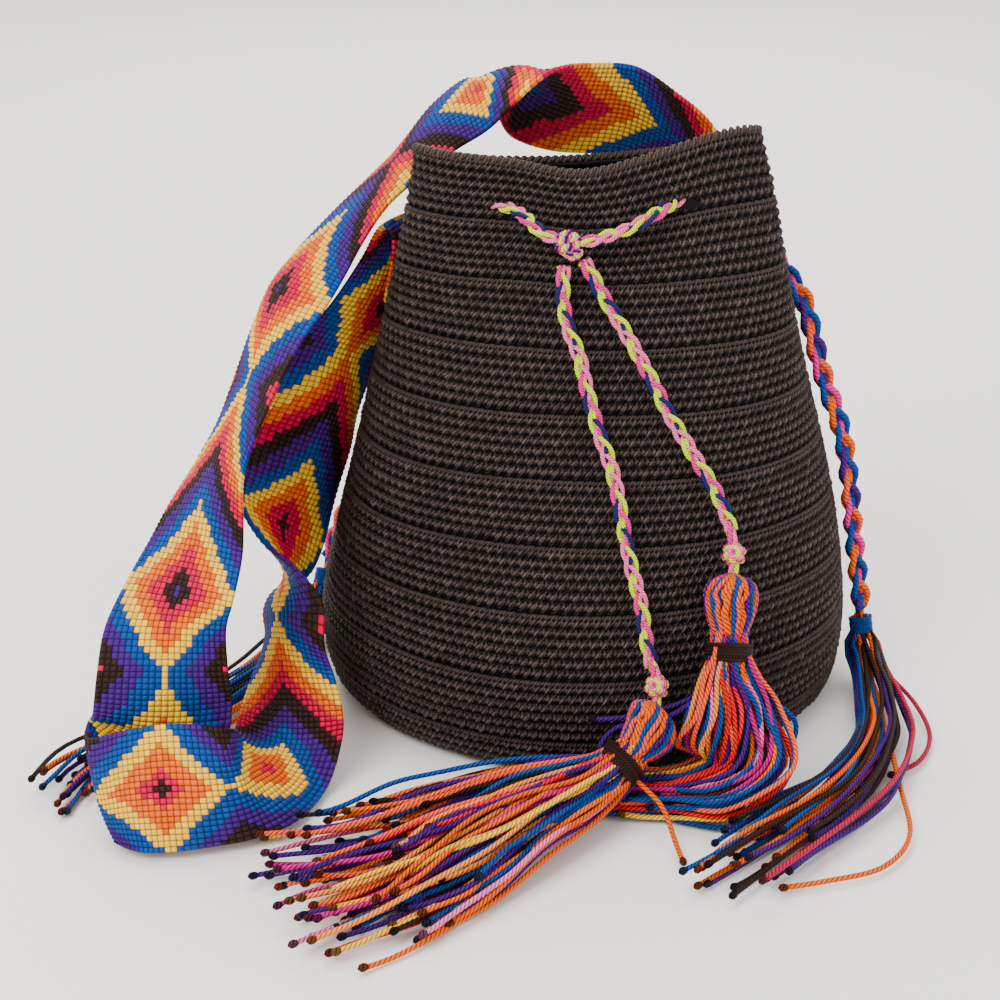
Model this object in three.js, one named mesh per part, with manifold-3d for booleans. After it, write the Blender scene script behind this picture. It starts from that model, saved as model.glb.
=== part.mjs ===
// A crocheted bucket bag with a knotted carrying strap, a braided drawstring with two tassels,
// and two braids with fringes that finish the ends of the strap. Millimetres, +Z up.
// The origin is the centre of the base's flat underside, and the bag's front faces -Y.
import * as THREE from "three";
import { mergeVertices } from "three/addons/utils/BufferGeometryUtils.js";
import Module from "manifold-3d";

const wasm = await Module();
wasm.setup();

// Bag
const WALL = 3;
const BASE_RADIUS_X = 132;
const BASE_RADIUS_Y = 126;
const BODY_HEIGHT = 266;
const BAG_SEGMENTS = 56;
// Height, half width, half depth, sideways shift of the middle, and roundness (2 is an ellipse)
const BAG_SECTIONS = [
  [0, 114, 112, 1.5, 2],
  [3.5, 124, 121, 1.5, 2],
  [12, 130, BASE_RADIUS_Y, 1.5, 2],
  [35, BASE_RADIUS_X, BASE_RADIUS_Y, 1.5, 2],
  [65, 127.5, 116, 2, 2],
  [100, 120, 101, 2.8, 2],
  [140, 110, 83, 4, 1.98],
  [175, 101, 68, 4.5, 1.95],
  [210, 93, 52, 3.5, 1.9],
  [240, 86.5, 38, 1.5, 1.85],
  [BODY_HEIGHT, 80.5, 27, -1, 1.8],
];
const RIM_SWAY_STARTS = 210;
const EYELET = { width: 22, height: 9, depth: 30 };
// Middle of each eyelet and the angle of its wall, in degrees from +X
const EYELETS = [
  [42, -33, 243, -62],
  [-41, -33, 241, -118],
  [44, 31, 243, 62],
  [8, 37, 242, 86],
  [-14, 37, 242, 96],
  [-44, 31, 242, 118],
];

// Cords
const STRING_DIAMETER = 5.6;
const BRAID_DIAMETER = 9;
const CORD_SIDES = 8;

// Strap
const STRAP_THICKNESS = 2.6;
const STRAP_ROWS_PER_STATION = 2;
const STRAP_COLUMNS = 6;

// Front edge, middle and back edge of the strap, from its left end, sewn to the bag's left side,
// down to the floor, round the turned-up loop, up over the bag and down to its right end.
const STRAP_STATIONS = [
  // sewn to the left side, then folded over outwards
  [[-96, 10, 186], [-80, 37, 187], [-52, 57, 188]],
  [[-91, 8, 214], [-74, 33, 215], [-44, 50, 217]],
  [[-94, 7, 224], [-78, 35, 226], [-53, 56, 227]],
  [[-99, 7, 221], [-85, 35, 220], [-65, 58, 218]],
  // hanging down the left side
  [[-106, 8, 209], [-90, 30, 203], [-78, 53, 197]],
  [[-119, 1, 191], [-98, 20, 181], [-88, 44, 173]],
  [[-134, -10, 174], [-114, 8, 162], [-102, 32, 150]],
  [[-147, -12, 151], [-120, -2, 142], [-112, 20, 128]],
  [[-158, -13, 132], [-130, -8, 121], [-116, 16, 109]],
  [[-163, -30, 115], [-137, -20, 103], [-123, 5, 88]],
  [[-162, -53, 107], [-145, -35, 89], [-127, -22, 72]],
  // half a twist
  [[-150, -70, 95], [-143, -47, 77], [-135, -26, 57]],
  [[-132, -83, 85], [-142, -60, 68], [-150, -36, 53]],
  [[-121, -88, 71], [-144, -70, 61], [-154, -46, 47]],
  [[-120, -99, 56], [-143, -80, 55], [-152, -57, 37]],
  [[-115, -110, 46], [-140, -94, 39], [-157, -73, 26]],
  [[-111, -118, 34], [-138, -106, 27], [-161, -88, 18]],
  [[-111, -123, 20], [-138, -120, 16], [-162, -104, 16]],
  // turning on its edge along the floor
  [[-117, -137, 4], [-141, -138, 16], [-160, -119, 22]],
  [[-127, -164, 4], [-146, -157, 22], [-157, -136, 33]],
  [[-144, -178, 4], [-151, -173, 27], [-159, -153, 43]],
  [[-161, -184, 4], [-164, -179, 29], [-170, -157, 47]],
  [[-177, -188, 4], [-179, -179, 29], [-184, -157, 47]],
  [[-191, -188, 4], [-196, -175, 25], [-200, -155, 43]],
  // curling round behind itself
  [[-202, -179, 4], [-212, -164, 16], [-217, -149, 36]],
  [[-196, -161, 5], [-210, -150, 19], [-221, -140, 35]],
  [[-178, -146, 9], [-200, -141, 22], [-221, -136, 37]],
  [[-163, -137, 22], [-191, -138, 29], [-219, -137, 40]],
  // rising in front of the first strand
  [[-158, -133, 40], [-187, -138, 40], [-217, -141, 45]],
  [[-158, -135, 61], [-185, -137, 62], [-215, -135, 61]],
  [[-158, -134, 80], [-184, -130, 79], [-213, -122, 76]],
  [[-154, -135, 95], [-180, -120, 93], [-206, -105, 90]],
  [[-151, -123, 110], [-175, -106, 108], [-198, -87, 102]],
  [[-151, -114, 124], [-172, -92, 124], [-191, -71, 113]],
  [[-152, -102, 137], [-168, -76, 137], [-182, -53, 125]],
  [[-149, -87, 148], [-162, -60, 150], [-173, -34, 139]],
  [[-140, -67, 167], [-155, -42, 166], [-166, -16, 157]],
  [[-131, -48, 182], [-151, -26, 182], [-160, 1, 173]],
  [[-120, -28, 195], [-144, -10, 198], [-150, 19, 193]],
  [[-112, -18, 207], [-132, 5, 211], [-137, 34, 208]],
  [[-104, -5, 220], [-116, 20, 226], [-121, 49, 223]],
  [[-93, 8, 234], [-100, 35, 240], [-103, 65, 238]],
  [[-77, 20, 246], [-88, 45, 252], [-89, 75, 250]],
  // over the mouth, with the other half of the twist
  [[-61, 26, 257], [-71, 49, 269], [-73, 78, 270]],
  [[-46, 22, 267], [-52, 46, 281], [-56, 74, 283]],
  [[-34, 18, 279], [-40, 45, 291], [-50, 70, 275]],
  [[-24, 16, 289], [-29, 45, 292], [-42, 65, 268]],
  [[-13, 18, 296], [-23, 44, 283], [-34, 60, 257]],
  [[3, 22, 298], [-4, 43, 275], [-13, 61, 250]],
  [[24, 26, 296], [22, 44, 272], [18, 61, 248]],
  [[43, 28, 284], [42, 47, 262], [38, 62, 240]],
  // down behind the right corner, sewn to the right side
  [[60, 29, 270], [60, 48, 246], [56, 63, 224]],
  [[74, 31, 248], [69, 51, 228], [60, 66, 206]],
  [[88, 27, 216], [79, 47, 205], [63, 64, 189]],
];

// Drawstring, from the knot round the mouth, in and out of the eyelets, back to the knot
const KNOT_CENTRE = [-10, -55, 231];
const KNOT_RADII = [9, 7, 8];
const STRING_LOOP_POINTS = [
  [-21, -51, 233],
  [-28, -46, 237],
  [-35, -40, 240],
  [-42, -31, 241],
  [-50, -18, 241],
  [-59, -9, 242],
  [-66, 0, 242],
  [-59, 9, 242],
  [-50, 17, 242],
  [-45, 29, 242],
  [-38, 37.5, 242],
  [-28, 42, 242],
  [-20, 41, 242],
  [-14, 36, 242],
  [-7, 30, 242],
  [1, 30, 242],
  [8, 36, 242],
  [14, 41.5, 242],
  [24, 43, 243],
  [34, 40, 243],
  [44, 31, 243],
  [52, 17, 243],
  [61, 9, 243],
  [68, 0, 243],
  [61, -9, 243],
  [52, -18, 243],
  [44, -31, 243],
  [37, -39, 242],
  [28, -44, 239],
  [18, -48, 235],
  [9, -51, 233],
  [1.5, -53, 231.5],
];
const LEFT_TAIL_POINTS = [
  [-12, -56, 221],
  [-12, -58, 213],
  [-12, -60, 205],
  [-9, -66, 193],
  [-5, -70, 184],
  [-1, -77, 168],
  [4, -84, 152],
  [8, -89, 142],
  [11, -93, 132],
  [13, -98, 122],
  [15, -102, 112],
  [18, -108, 98],
  [22, -114, 84],
  [24, -119, 71],
  [27, -125, 58],
];
const RIGHT_TAIL_POINTS = [
  [-3.5, -56, 223.5],
  [0, -56, 218],
  [5, -59, 209],
  [13, -64, 197],
  [21, -69, 184],
  [28, -74, 172],
  [35, -78, 159],
  [42, -81, 148],
  [49, -84, 137],
  [55, -87, 128],
  [60, -90, 118],
  [63, -94, 110],
];

// Strap ends
const RIGHT_BRAID_POINTS = [
  [94, 25, 205],
  [101, 19, 196],
  [107, 13, 187],
  [110, 9, 178],
  [114, 5, 163],
  [119, 1, 147],
  [127, -4, 126],
  [132, -9, 101],
  [136, -13, 71],
  [140, -17, 45],
  [141, -19, 36],
];
const LEFT_BRAID_POINTS = [
  [-66, 58, 180],
  [-70, 63, 162],
  [-76, 66, 148],
  [-85, 66, 132],
  [-101, 65, 103],
  [-117, 56, 72],
  [-128, 46, 47],
  [-131, 42, 37],
];

// Tassels: the middle of the neck knot, head and binding, and the way that each hangs
const RIGHT_TASSEL = {
  neck: [64, -99.5, 101],
  head: [62, -112, 82],
  binding: [61, -121, 63],
};
const LEFT_TASSEL = {
  neck: [28.8, -130, 50.8],
  head: [25, -141, 33],
  binding: [12, -151, 24],
};
const NECK_RADIUS = 6.5;
const HEAD_RADII = [11, 11, 14];
const BINDING = { radius: 10.5, height: 7 };
const BRAID_BINDING = { radius: 6, height: 9 };

const BROWN = 0x2a201c;
const PINK = 0xe0508f;
const ORANGE = 0xf07a28;
const BLUE = 0x1c4f9e;
const STRING_COLOUR = 0xe7c45a;

function material(colour, roughness) {
  return new THREE.MeshStandardMaterial({ color: colour, roughness, metalness: 0 });
}

function named(name, geometry, colour, roughness = 0.85) {
  const mesh = new THREE.Mesh(geometry, material(colour, roughness));
  mesh.name = name;
  return mesh;
}

function vector(point) {
  return new THREE.Vector3(point[0], point[1], point[2]);
}

// A closed body from rings of points that all run the same way round, with a flat cap on each end
function loft(rings) {
  const count = rings[0].length;
  const positions = [];
  const triangle = (a, b, c) => {
    for (const p of [a, b, c]) {
      positions.push(p.x, p.y, p.z);
    }
  };
  for (let r = 0; r + 1 < rings.length; r += 1) {
    for (let i = 0; i < count; i += 1) {
      const j = (i + 1) % count;
      triangle(rings[r][i], rings[r][j], rings[r + 1][j]);
      triangle(rings[r][i], rings[r + 1][j], rings[r + 1][i]);
    }
  }
  capRing(rings[0], triangle, true);
  capRing(rings[rings.length - 1], triangle, false);
  return outward(positions);
}

// A fan of triangles from the middle of a ring
function capRing(ring, triangle, start) {
  const middle = new THREE.Vector3();
  ring.forEach((p) => middle.add(p));
  middle.divideScalar(ring.length);
  for (let i = 0; i < ring.length; i += 1) {
    const j = (i + 1) % ring.length;
    if (start) {
      triangle(middle, ring[j], ring[i]);
    } else {
      triangle(middle, ring[i], ring[j]);
    }
  }
}

// A geometry of these triangle corners, turned round if its faces point in
function outward(positions) {
  let volume = 0;
  for (let i = 0; i < positions.length; i += 9) {
    const a = new THREE.Vector3().fromArray(positions, i);
    const b = new THREE.Vector3().fromArray(positions, i + 3);
    const c = new THREE.Vector3().fromArray(positions, i + 6);
    volume += a.dot(b.cross(c));
  }
  if (volume < 0) {
    for (let i = 0; i < positions.length; i += 9) {
      for (let k = 0; k < 3; k += 1) {
        const kept = positions[i + 3 + k];
        positions[i + 3 + k] = positions[i + 6 + k];
        positions[i + 6 + k] = kept;
      }
    }
  }
  const geometry = new THREE.BufferGeometry();
  geometry.setAttribute("position", new THREE.BufferAttribute(new Float32Array(positions), 3));
  return geometry;
}

function toSolid(geometry) {
  const bare = geometry.clone();
  bare.deleteAttribute("normal");
  bare.deleteAttribute("uv");
  const merged = mergeVertices(bare, 1e-4);
  return new wasm.Manifold(
    new wasm.Mesh({
      numProp: 3,
      vertProperties: new Float32Array(merged.attributes.position.array),
      triVerts: new Uint32Array(merged.index.array),
    }),
  );
}

function toGeometry(solid) {
  const mesh = solid.getMesh();
  const geometry = new THREE.BufferGeometry();
  geometry.setAttribute("position", new THREE.BufferAttribute(mesh.vertProperties, 3));
  geometry.setIndex(new THREE.BufferAttribute(mesh.triVerts, 1));
  return geometry;
}

// A tube with round ends' flat caps along a smooth curve through the points
function cord(points, diameter, steps) {
  const section = new THREE.Shape();
  for (let i = 0; i < CORD_SIDES; i += 1) {
    const angle = (2 * Math.PI * i) / CORD_SIDES;
    const x = (diameter / 2) * Math.cos(angle);
    const y = (diameter / 2) * Math.sin(angle);
    if (i === 0) {
      section.moveTo(x, y);
    } else {
      section.lineTo(x, y);
    }
  }
  section.closePath();
  const extrudePath = new THREE.CatmullRomCurve3(points.map(vector));
  return new THREE.ExtrudeGeometry(section, { steps, extrudePath, bevelEnabled: false });
}

// The bag's section at a height, worked out between the listed ones
function bagSection(height) {
  let k = 1;
  while (k < BAG_SECTIONS.length - 1 && BAG_SECTIONS[k][0] < height) {
    k += 1;
  }
  const low = BAG_SECTIONS[k - 1];
  const high = BAG_SECTIONS[k];
  const t = (height - low[0]) / (high[0] - low[0]);
  return low.map((value, i) => value + (high[i] - value) * t);
}

// How high the rim stands at an angle round the mouth: highest at the right, lowest at the back
function rimHeight(angle) {
  return 263.5 + 4 * Math.cos(angle) + 3.5 * Math.cos(2 * angle) - 2 * Math.sin(angle);
}

function bagRing(height, inset) {
  const [, halfWidth, halfDepth, shift, roundness] = bagSection(height);
  const ring = [];
  for (let i = 0; i < BAG_SEGMENTS; i += 1) {
    const angle = (2 * Math.PI * i) / BAG_SEGMENTS;
    const c = Math.cos(angle);
    const s = Math.sin(angle);
    const x = shift + (halfWidth - inset) * Math.sign(c) * Math.abs(c) ** (2 / roundness);
    const y = (halfDepth - inset) * Math.sign(s) * Math.abs(s) ** (2 / roundness);
    const share = Math.max(0, height - RIM_SWAY_STARTS) / (BODY_HEIGHT - RIM_SWAY_STARTS);
    ring.push(new THREE.Vector3(x, y, height + share * (rimHeight(angle) - BODY_HEIGHT)));
  }
  return ring;
}

// The crocheted bag: one wall, up the outside, over the rim and down the inside, with its eyelets
function bagBody() {
  const outside = BAG_SECTIONS.map((section) => bagRing(section[0], 0));
  const inside = BAG_SECTIONS.slice(1).map((section) => bagRing(Math.max(section[0], WALL), WALL));
  let solid = toSolid(loft([...outside, ...inside.reverse()]));
  for (const [x, y, z, degrees] of EYELETS) {
    const cutter = new THREE.BoxGeometry(EYELET.depth, EYELET.width, EYELET.height);
    cutter.rotateZ(THREE.MathUtils.degToRad(degrees));
    cutter.translate(x, y, z);
    solid = solid.subtract(toSolid(cutter));
  }
  return toGeometry(solid);
}

// A smooth curve through the same place of every strap station
function strapCurve(column) {
  return new THREE.CatmullRomCurve3(STRAP_STATIONS.map((station) => vector(station[column])));
}

// The strap's middle surface: rows along it, each an arc from the front edge to the back edge
function strapGrid() {
  const curves = [0, 1, 2].map(strapCurve);
  const rows = (STRAP_STATIONS.length - 1) * STRAP_ROWS_PER_STATION;
  const grid = [];
  for (let r = 0; r <= rows; r += 1) {
    const [front, middle, back] = curves.map((curve) => curve.getPoint(r / rows));
    const row = [];
    for (let c = 0; c <= STRAP_COLUMNS; c += 1) {
      const t = (2 * c) / STRAP_COLUMNS - 1;
      const point = middle.clone().multiplyScalar(1 - t * t);
      point.addScaledVector(front, (t * t - t) / 2);
      point.addScaledVector(back, (t * t + t) / 2);
      row.push(point);
    }
    grid.push(row);
  }
  return grid;
}

// The strap, as thick as its knots, with one ring of points round each row
function strap() {
  const grid = strapGrid();
  const rings = grid.map((row, r) => {
    const before = grid[Math.max(0, r - 1)];
    const after = grid[Math.min(grid.length - 1, r + 1)];
    const faces = row.map((point, c) => {
      const along = after[c].clone().sub(before[c]);
      const left = row[Math.max(0, c - 1)];
      const right = row[Math.min(STRAP_COLUMNS, c + 1)];
      const across = right.clone().sub(left);
      return along.cross(across).setLength(STRAP_THICKNESS / 2);
    });
    const upper = row.map((point, c) => point.clone().add(faces[c]));
    const lower = row.map((point, c) => point.clone().sub(faces[c]));
    return [...upper, ...lower.reverse()];
  });
  return loft(rings);
}

// A closed bundle: flattened rings along a path of [middle, half width, half thickness]
function bundle(sections, sides = 12) {
  const curve = new THREE.CatmullRomCurve3(sections.map((section) => vector(section[0])));
  const last = sections.length - 1;
  const rings = sections.map(([centre, halfWidth, halfThickness], k) => {
    const along = curve.getTangent(k / last);
    const wide = new THREE.Vector3(0, 0, 1).cross(along);
    if (wide.length() < 0.2) {
      wide.set(1, 0, 0);
    }
    wide.normalize();
    const thick = along.clone().cross(wide).normalize();
    const ring = [];
    for (let i = 0; i < sides; i += 1) {
      const angle = (2 * Math.PI * i) / sides;
      const point = vector(centre);
      point.addScaledVector(wide, halfWidth * Math.cos(angle));
      point.addScaledVector(thick, halfThickness * Math.sin(angle));
      ring.push(point);
    }
    return ring;
  });
  return loft(rings);
}

// An egg-shaped body with its long axis along a direction
function egg(centre, radii, axis, segments = 14, rings = 10) {
  const geometry = new THREE.SphereGeometry(1, segments, rings);
  geometry.rotateX(Math.PI / 2);
  geometry.scale(radii[0], radii[1], radii[2]);
  return aimed(geometry, centre, axis);
}

// A short drum for a wound binding
function drum(centre, size, axis) {
  const geometry = new THREE.CylinderGeometry(size.radius, size.radius, size.height, 20);
  geometry.rotateX(Math.PI / 2);
  return aimed(geometry, centre, axis);
}

// Turns a shape made along +Z to lie along an axis, and moves it to its place
function aimed(geometry, centre, axis) {
  const turn = new THREE.Quaternion();
  turn.setFromUnitVectors(new THREE.Vector3(0, 0, 1), axis.clone().normalize());
  geometry.applyQuaternion(turn);
  geometry.translate(centre[0], centre[1], centre[2]);
  return geometry;
}

function between(from, to) {
  return vector(to).sub(vector(from));
}

function drawstring() {
  const group = new THREE.Group();
  const knot = egg(KNOT_CENTRE, KNOT_RADII, new THREE.Vector3(0, 0, 1));
  group.add(named("drawstring_knot", knot, PINK));
  group.add(named("drawstring_loop", cord(STRING_LOOP_POINTS, STRING_DIAMETER, 76), STRING_COLOUR));
  group.add(named("left_tail", cord(LEFT_TAIL_POINTS, STRING_DIAMETER, 16), STRING_COLOUR));
  group.add(named("right_tail", cord(RIGHT_TAIL_POINTS, STRING_DIAMETER, 13), STRING_COLOUR));
  return group;
}

// One tassel: the neck knot, the looped head, its wound binding and the skirt of loose ends
function tassel(side, places, skirtSections) {
  const group = new THREE.Group();
  const down = between(places.neck, places.head);
  const on = between(places.head, places.binding);
  const neck = egg(places.neck, [NECK_RADIUS, NECK_RADIUS, NECK_RADIUS], down);
  group.add(named(`${side}_tassel_neck`, neck, PINK));
  group.add(named(`${side}_tassel_head`, egg(places.head, HEAD_RADII, down), ORANGE));
  group.add(named(`${side}_tassel_binding`, drum(places.binding, BINDING, on), BROWN));
  group.add(named(`${side}_tassel_skirt`, bundle(skirtSections), ORANGE));
  return group;
}

// One finished strap end: its braid, the binding and the fringe
function strapEnd(side, braidPoints, steps, bindingCentre, bindingAxis, fringeSections) {
  const group = new THREE.Group();
  group.add(named(`${side}_braid`, cord(braidPoints, BRAID_DIAMETER, steps), ORANGE));
  const binding = drum(bindingCentre, BRAID_BINDING, vector(bindingAxis));
  group.add(named(`${side}_braid_binding`, binding, BLUE));
  group.add(named(`${side}_fringe`, bundle(fringeSections), BROWN));
  return group;
}

const RIGHT_SKIRT = [
  [[60.5, -127, 55], 10, 6],
  [[62, -134, 42], 15, 7],
  [[63, -143, 24], 19, 7],
  [[56, -149, 11], 17, 7],
  [[34, -147, 6.5], 12, 5],
  [[4, -143, 5.5], 12, 4.5],
  [[-28, -141, 5.5], 11, 4.5],
];
const LEFT_SKIRT = [
  [[4, -158, 22], 11, 8],
  [[-10, -166, 22], 15, 8],
  [[-32, -177, 20], 22, 8],
  [[-60, -192, 13], 31, 9],
  [[-92, -209, 9], 40, 8],
  [[-125, -224, 8], 44, 6],
];
const RIGHT_FRINGE = [
  [[142, -23, 20], 6, 5],
  [[143.5, -36, 11], 9, 6],
  [[142, -66, 8], 14, 6],
  [[138, -97, 8], 19, 6],
  [[120, -139, 8], 23, 6],
  [[86, -181, 8], 23, 6],
  [[48, -217, 7], 23, 5],
];
const LEFT_FRINGE = [
  [[-136, 32, 19], 6, 5],
  [[-141, 20, 10], 8, 6],
  [[-150, -8, 7], 11, 5],
  [[-163, -40, 6.5], 12, 5],
  [[-192, -82, 6], 12, 4.5],
  [[-226, -118, 6], 13, 4.5],
  [[-236, -152, 5.5], 13, 4],
];

const bag = new THREE.Group();
bag.add(named("bag_body", bagBody(), BROWN, 0.9));
bag.add(named("strap", strap(), ORANGE));
bag.add(drawstring());
bag.add(tassel("left", LEFT_TASSEL, LEFT_SKIRT));
bag.add(tassel("right", RIGHT_TASSEL, RIGHT_SKIRT));
bag.add(strapEnd("left", LEFT_BRAID_POINTS, 10, [-133.5, 38.5, 27], [-2, -3, -9], LEFT_FRINGE));
bag.add(strapEnd("right", RIGHT_BRAID_POINTS, 12, [141.5, -21, 28], [1, -2, -8], RIGHT_FRINGE));

export default bag;
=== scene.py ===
"""The look of a crocheted bucket bag with a knotted strap, a drawstring and tassels, over its CAD."""

import logging
import math
from dataclasses import dataclass
from enum import Enum

import bpy
import numpy as np
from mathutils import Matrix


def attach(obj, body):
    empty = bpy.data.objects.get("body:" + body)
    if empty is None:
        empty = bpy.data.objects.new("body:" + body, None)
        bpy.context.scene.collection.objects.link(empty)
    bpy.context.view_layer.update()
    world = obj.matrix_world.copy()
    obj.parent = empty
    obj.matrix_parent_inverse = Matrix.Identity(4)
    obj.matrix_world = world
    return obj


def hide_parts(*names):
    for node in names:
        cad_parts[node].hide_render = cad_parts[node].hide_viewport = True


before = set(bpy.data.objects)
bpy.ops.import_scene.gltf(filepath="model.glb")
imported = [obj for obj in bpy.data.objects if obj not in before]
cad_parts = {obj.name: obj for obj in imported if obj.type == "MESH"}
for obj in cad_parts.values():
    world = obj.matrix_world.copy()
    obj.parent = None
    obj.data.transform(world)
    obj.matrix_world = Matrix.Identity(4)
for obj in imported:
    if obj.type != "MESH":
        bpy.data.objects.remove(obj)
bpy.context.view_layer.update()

logging.basicConfig(level=logging.INFO, format="%(name)s: %(message)s")
LOG = logging.getLogger("mochila")

MM = 0.001
Points = np.ndarray


class Yarn(Enum):
    """Cotton colours, as linear red, green and blue."""

    BROWN = (0.026, 0.010, 0.007)
    PINK = (0.56, 0.0, 0.046)
    ORANGE = (0.84, 0.115, 0.0)
    YELLOW = (1.0, 0.53, 0.025)
    BLUE = (0.0, 0.056, 0.27)
    PURPLE = (0.052, 0.006, 0.17)
    PALE_PINK = (0.90, 0.17, 0.36)
    HOT_PINK = (0.80, 0.02, 0.26)
    LIME = (0.66, 0.86, 0.0)
    NAVY = (0.008, 0.014, 0.10)
    SALMON = (0.90, 0.10, 0.035)
    MAGENTA = (0.50, 0.006, 0.17)
    RED = (0.82, 0.008, 0.012)
    PEACH = (0.95, 0.28, 0.045)


@dataclass(frozen=True)
class Finish:
    """How a yarn takes the light.

    Attributes:
        name: Material name.
        roughness: Surface roughness from 0 to 1.
        sheen: Soft fibre glow from 0 to 1.
        grain: Strength of the fine fibre relief.
        ply: Strength of the twisted-ply relief, read from the UV map.
        knots: Strength of the square knots' relief, read from the UV map.
    """

    name: str
    roughness: float
    sheen: float
    grain: float
    ply: float
    knots: float = 0.0


CROCHET = Finish("crochet cotton", 0.55, 0.0, 0.15, 0.8)
KNOTTED = Finish("knotted cotton", 0.50, 0.0, 0.15, 0.0, 1.0)
TWISTED = Finish("twisted cotton cord", 0.45, 0.0, 0.10, 0.9)
PLAIN = Finish("braiding yarn", 0.50, 0.0, 0.10, 0.5)


def yarn_material(finish: Finish) -> bpy.types.Material:
    """Make a cotton material that takes its colour from the tint attribute, with painted shade in the grooves
    of its relief.

    Args:
        finish: How the yarn takes the light.

    Returns:
        The material, new or already made.
    """
    made = bpy.data.materials.get(finish.name)
    if made:
        return made
    material = bpy.data.materials.new(finish.name)
    material.use_nodes = True
    nodes, links = material.node_tree.nodes, material.node_tree.links
    shader = nodes["Principled BSDF"]
    shader.inputs["Roughness"].default_value = finish.roughness
    shader.inputs["Sheen Weight"].default_value = finish.sheen
    shader.inputs["Specular IOR Level"].default_value = 0.12
    tint = nodes.new("ShaderNodeAttribute")
    tint.attribute_name = "tint"
    links.new(tint.outputs["Color"], shader.inputs["Base Color"])
    coords = nodes.new("ShaderNodeTexCoord")
    noise = nodes.new("ShaderNodeTexNoise")
    noise.inputs["Scale"].default_value = 1400.0
    links.new(coords.outputs["Object"], noise.inputs["Vector"])
    grain = nodes.new("ShaderNodeBump")
    grain.inputs["Strength"].default_value = finish.grain
    grain.inputs["Distance"].default_value = 0.3 * MM
    links.new(noise.outputs["Fac"], grain.inputs["Height"])
    links.new(grain.outputs["Normal"], shader.inputs["Normal"])
    # The ply and knot reliefs also paint shade into their grooves.
    if finish.ply > 0.0:
        add_relief(material, tint, grain, ply_height(material), finish.ply)
    if finish.knots > 0.0:
        add_relief(material, tint, grain, knot_height(material), finish.knots)
    return material


def maths(
    material: bpy.types.Material, operation: str, *values: bpy.types.NodeSocket | float
) -> bpy.types.NodeSocket:
    """Add a math node to a material and give back its result."""
    node = material.node_tree.nodes.new("ShaderNodeMath")
    node.operation = operation
    for socket, value in zip(node.inputs, values):
        if isinstance(value, bpy.types.NodeSocket):
            material.node_tree.links.new(value, socket)
        else:
            socket.default_value = value
    return node.outputs[0]


def uv_parts(material: bpy.types.Material) -> tuple[bpy.types.NodeSocket, bpy.types.NodeSocket]:
    """The two texture coordinates of a material's UV map."""
    nodes, links = material.node_tree.nodes, material.node_tree.links
    coords = nodes.new("ShaderNodeTexCoord")
    split = nodes.new("ShaderNodeSeparateXYZ")
    links.new(coords.outputs["UV"], split.inputs["Vector"])
    return split.outputs["X"], split.outputs["Y"]


def ply_height(material: bpy.types.Material) -> bpy.types.NodeSocket:
    """Height of a twisted cord's plies, whose slant comes from the sum of the two coordinates."""
    u, v = uv_parts(material)
    turned = maths(material, "MULTIPLY", maths(material, "ADD", u, v), math.pi)
    return maths(material, "ABSOLUTE", maths(material, "SINE", turned))


def knot_height(material: bpy.types.Material) -> bpy.types.NodeSocket:
    """Height of a field of round knots, one to each whole step of the two coordinates."""
    waves = []
    for part in uv_parts(material):
        turned = maths(material, "MULTIPLY", part, math.pi)
        waves.append(maths(material, "ABSOLUTE", maths(material, "SINE", turned)))
    return maths(material, "POWER", maths(material, "MULTIPLY", waves[0], waves[1]), 0.6)


def add_relief(
    material: bpy.types.Material,
    tint: bpy.types.Node,
    grain: bpy.types.Node,
    height: bpy.types.NodeSocket,
    strength: float,
) -> None:
    """Raise a material's surface by a height, and paint shade into its grooves by darkening their colour.

    Args:
        material: The material to change.
        tint: Its colour attribute node.
        grain: Its bump node, which the relief feeds.
        height: The height, from 0 in a groove to 1.
        strength: Strength of the relief, from 0 to 1.
    """
    nodes, links = material.node_tree.nodes, material.node_tree.links
    groove = nodes.new("ShaderNodeBump")
    groove.inputs["Strength"].default_value = strength
    groove.inputs["Distance"].default_value = 0.8 * MM
    links.new(height, groove.inputs["Height"])
    links.new(groove.outputs["Normal"], grain.inputs["Normal"])
    # Painted shade: the colour darkens to 0.22 of itself in the grooves.
    ramp = nodes.new("ShaderNodeValToRGB")
    ramp.color_ramp.elements[0].position = 0.05
    ramp.color_ramp.elements[0].color = (0.22, 0.22, 0.22, 1.0)
    ramp.color_ramp.elements[1].position = 0.50
    links.new(height, ramp.inputs["Fac"])
    mix = nodes.new("ShaderNodeMix")
    mix.data_type = "RGBA"
    mix.blend_type = "MULTIPLY"
    mix.inputs["Factor"].default_value = 1.0
    links.new(tint.outputs["Color"], mix.inputs["A"])
    links.new(ramp.outputs["Color"], mix.inputs["B"])
    links.new(mix.outputs["Result"], nodes["Principled BSDF"].inputs["Base Color"])


def unit(vectors: Points) -> Points:
    """Vectors scaled to length 1 along the last axis."""
    return vectors / np.maximum(np.linalg.norm(vectors, axis=-1, keepdims=True), 1e-12)


def smooth_curve(points: Points, per_span: int = 12) -> Points:
    """Points along a smooth curve through the given ones.

    Args:
        points: The places the curve goes through, one row each.
        per_span: How many points from each place to the next.

    Returns:
        The curve's points.
    """
    points = np.asarray(points, float)
    padded = np.vstack([2 * points[0] - points[1], points, 2 * points[-1] - points[-2]])
    t = np.linspace(0.0, 1.0, per_span, endpoint=False)[:, None]
    spans = []
    for i in range(len(points) - 1):
        a, b, c, d = padded[i : i + 4]
        cubic = (-a + 3 * b - 3 * c + d) * t**3 + (2 * a - 5 * b + 4 * c - d) * t**2
        spans.append(0.5 * (cubic + (c - a) * t + 2 * b))
    return np.vstack(spans + [points[-1:]])


def arc_lengths(path: Points) -> Points:
    """Distance along a path at each of its points."""
    return np.concatenate([[0.0], np.cumsum(np.linalg.norm(np.diff(path, axis=0), axis=1))])


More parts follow.
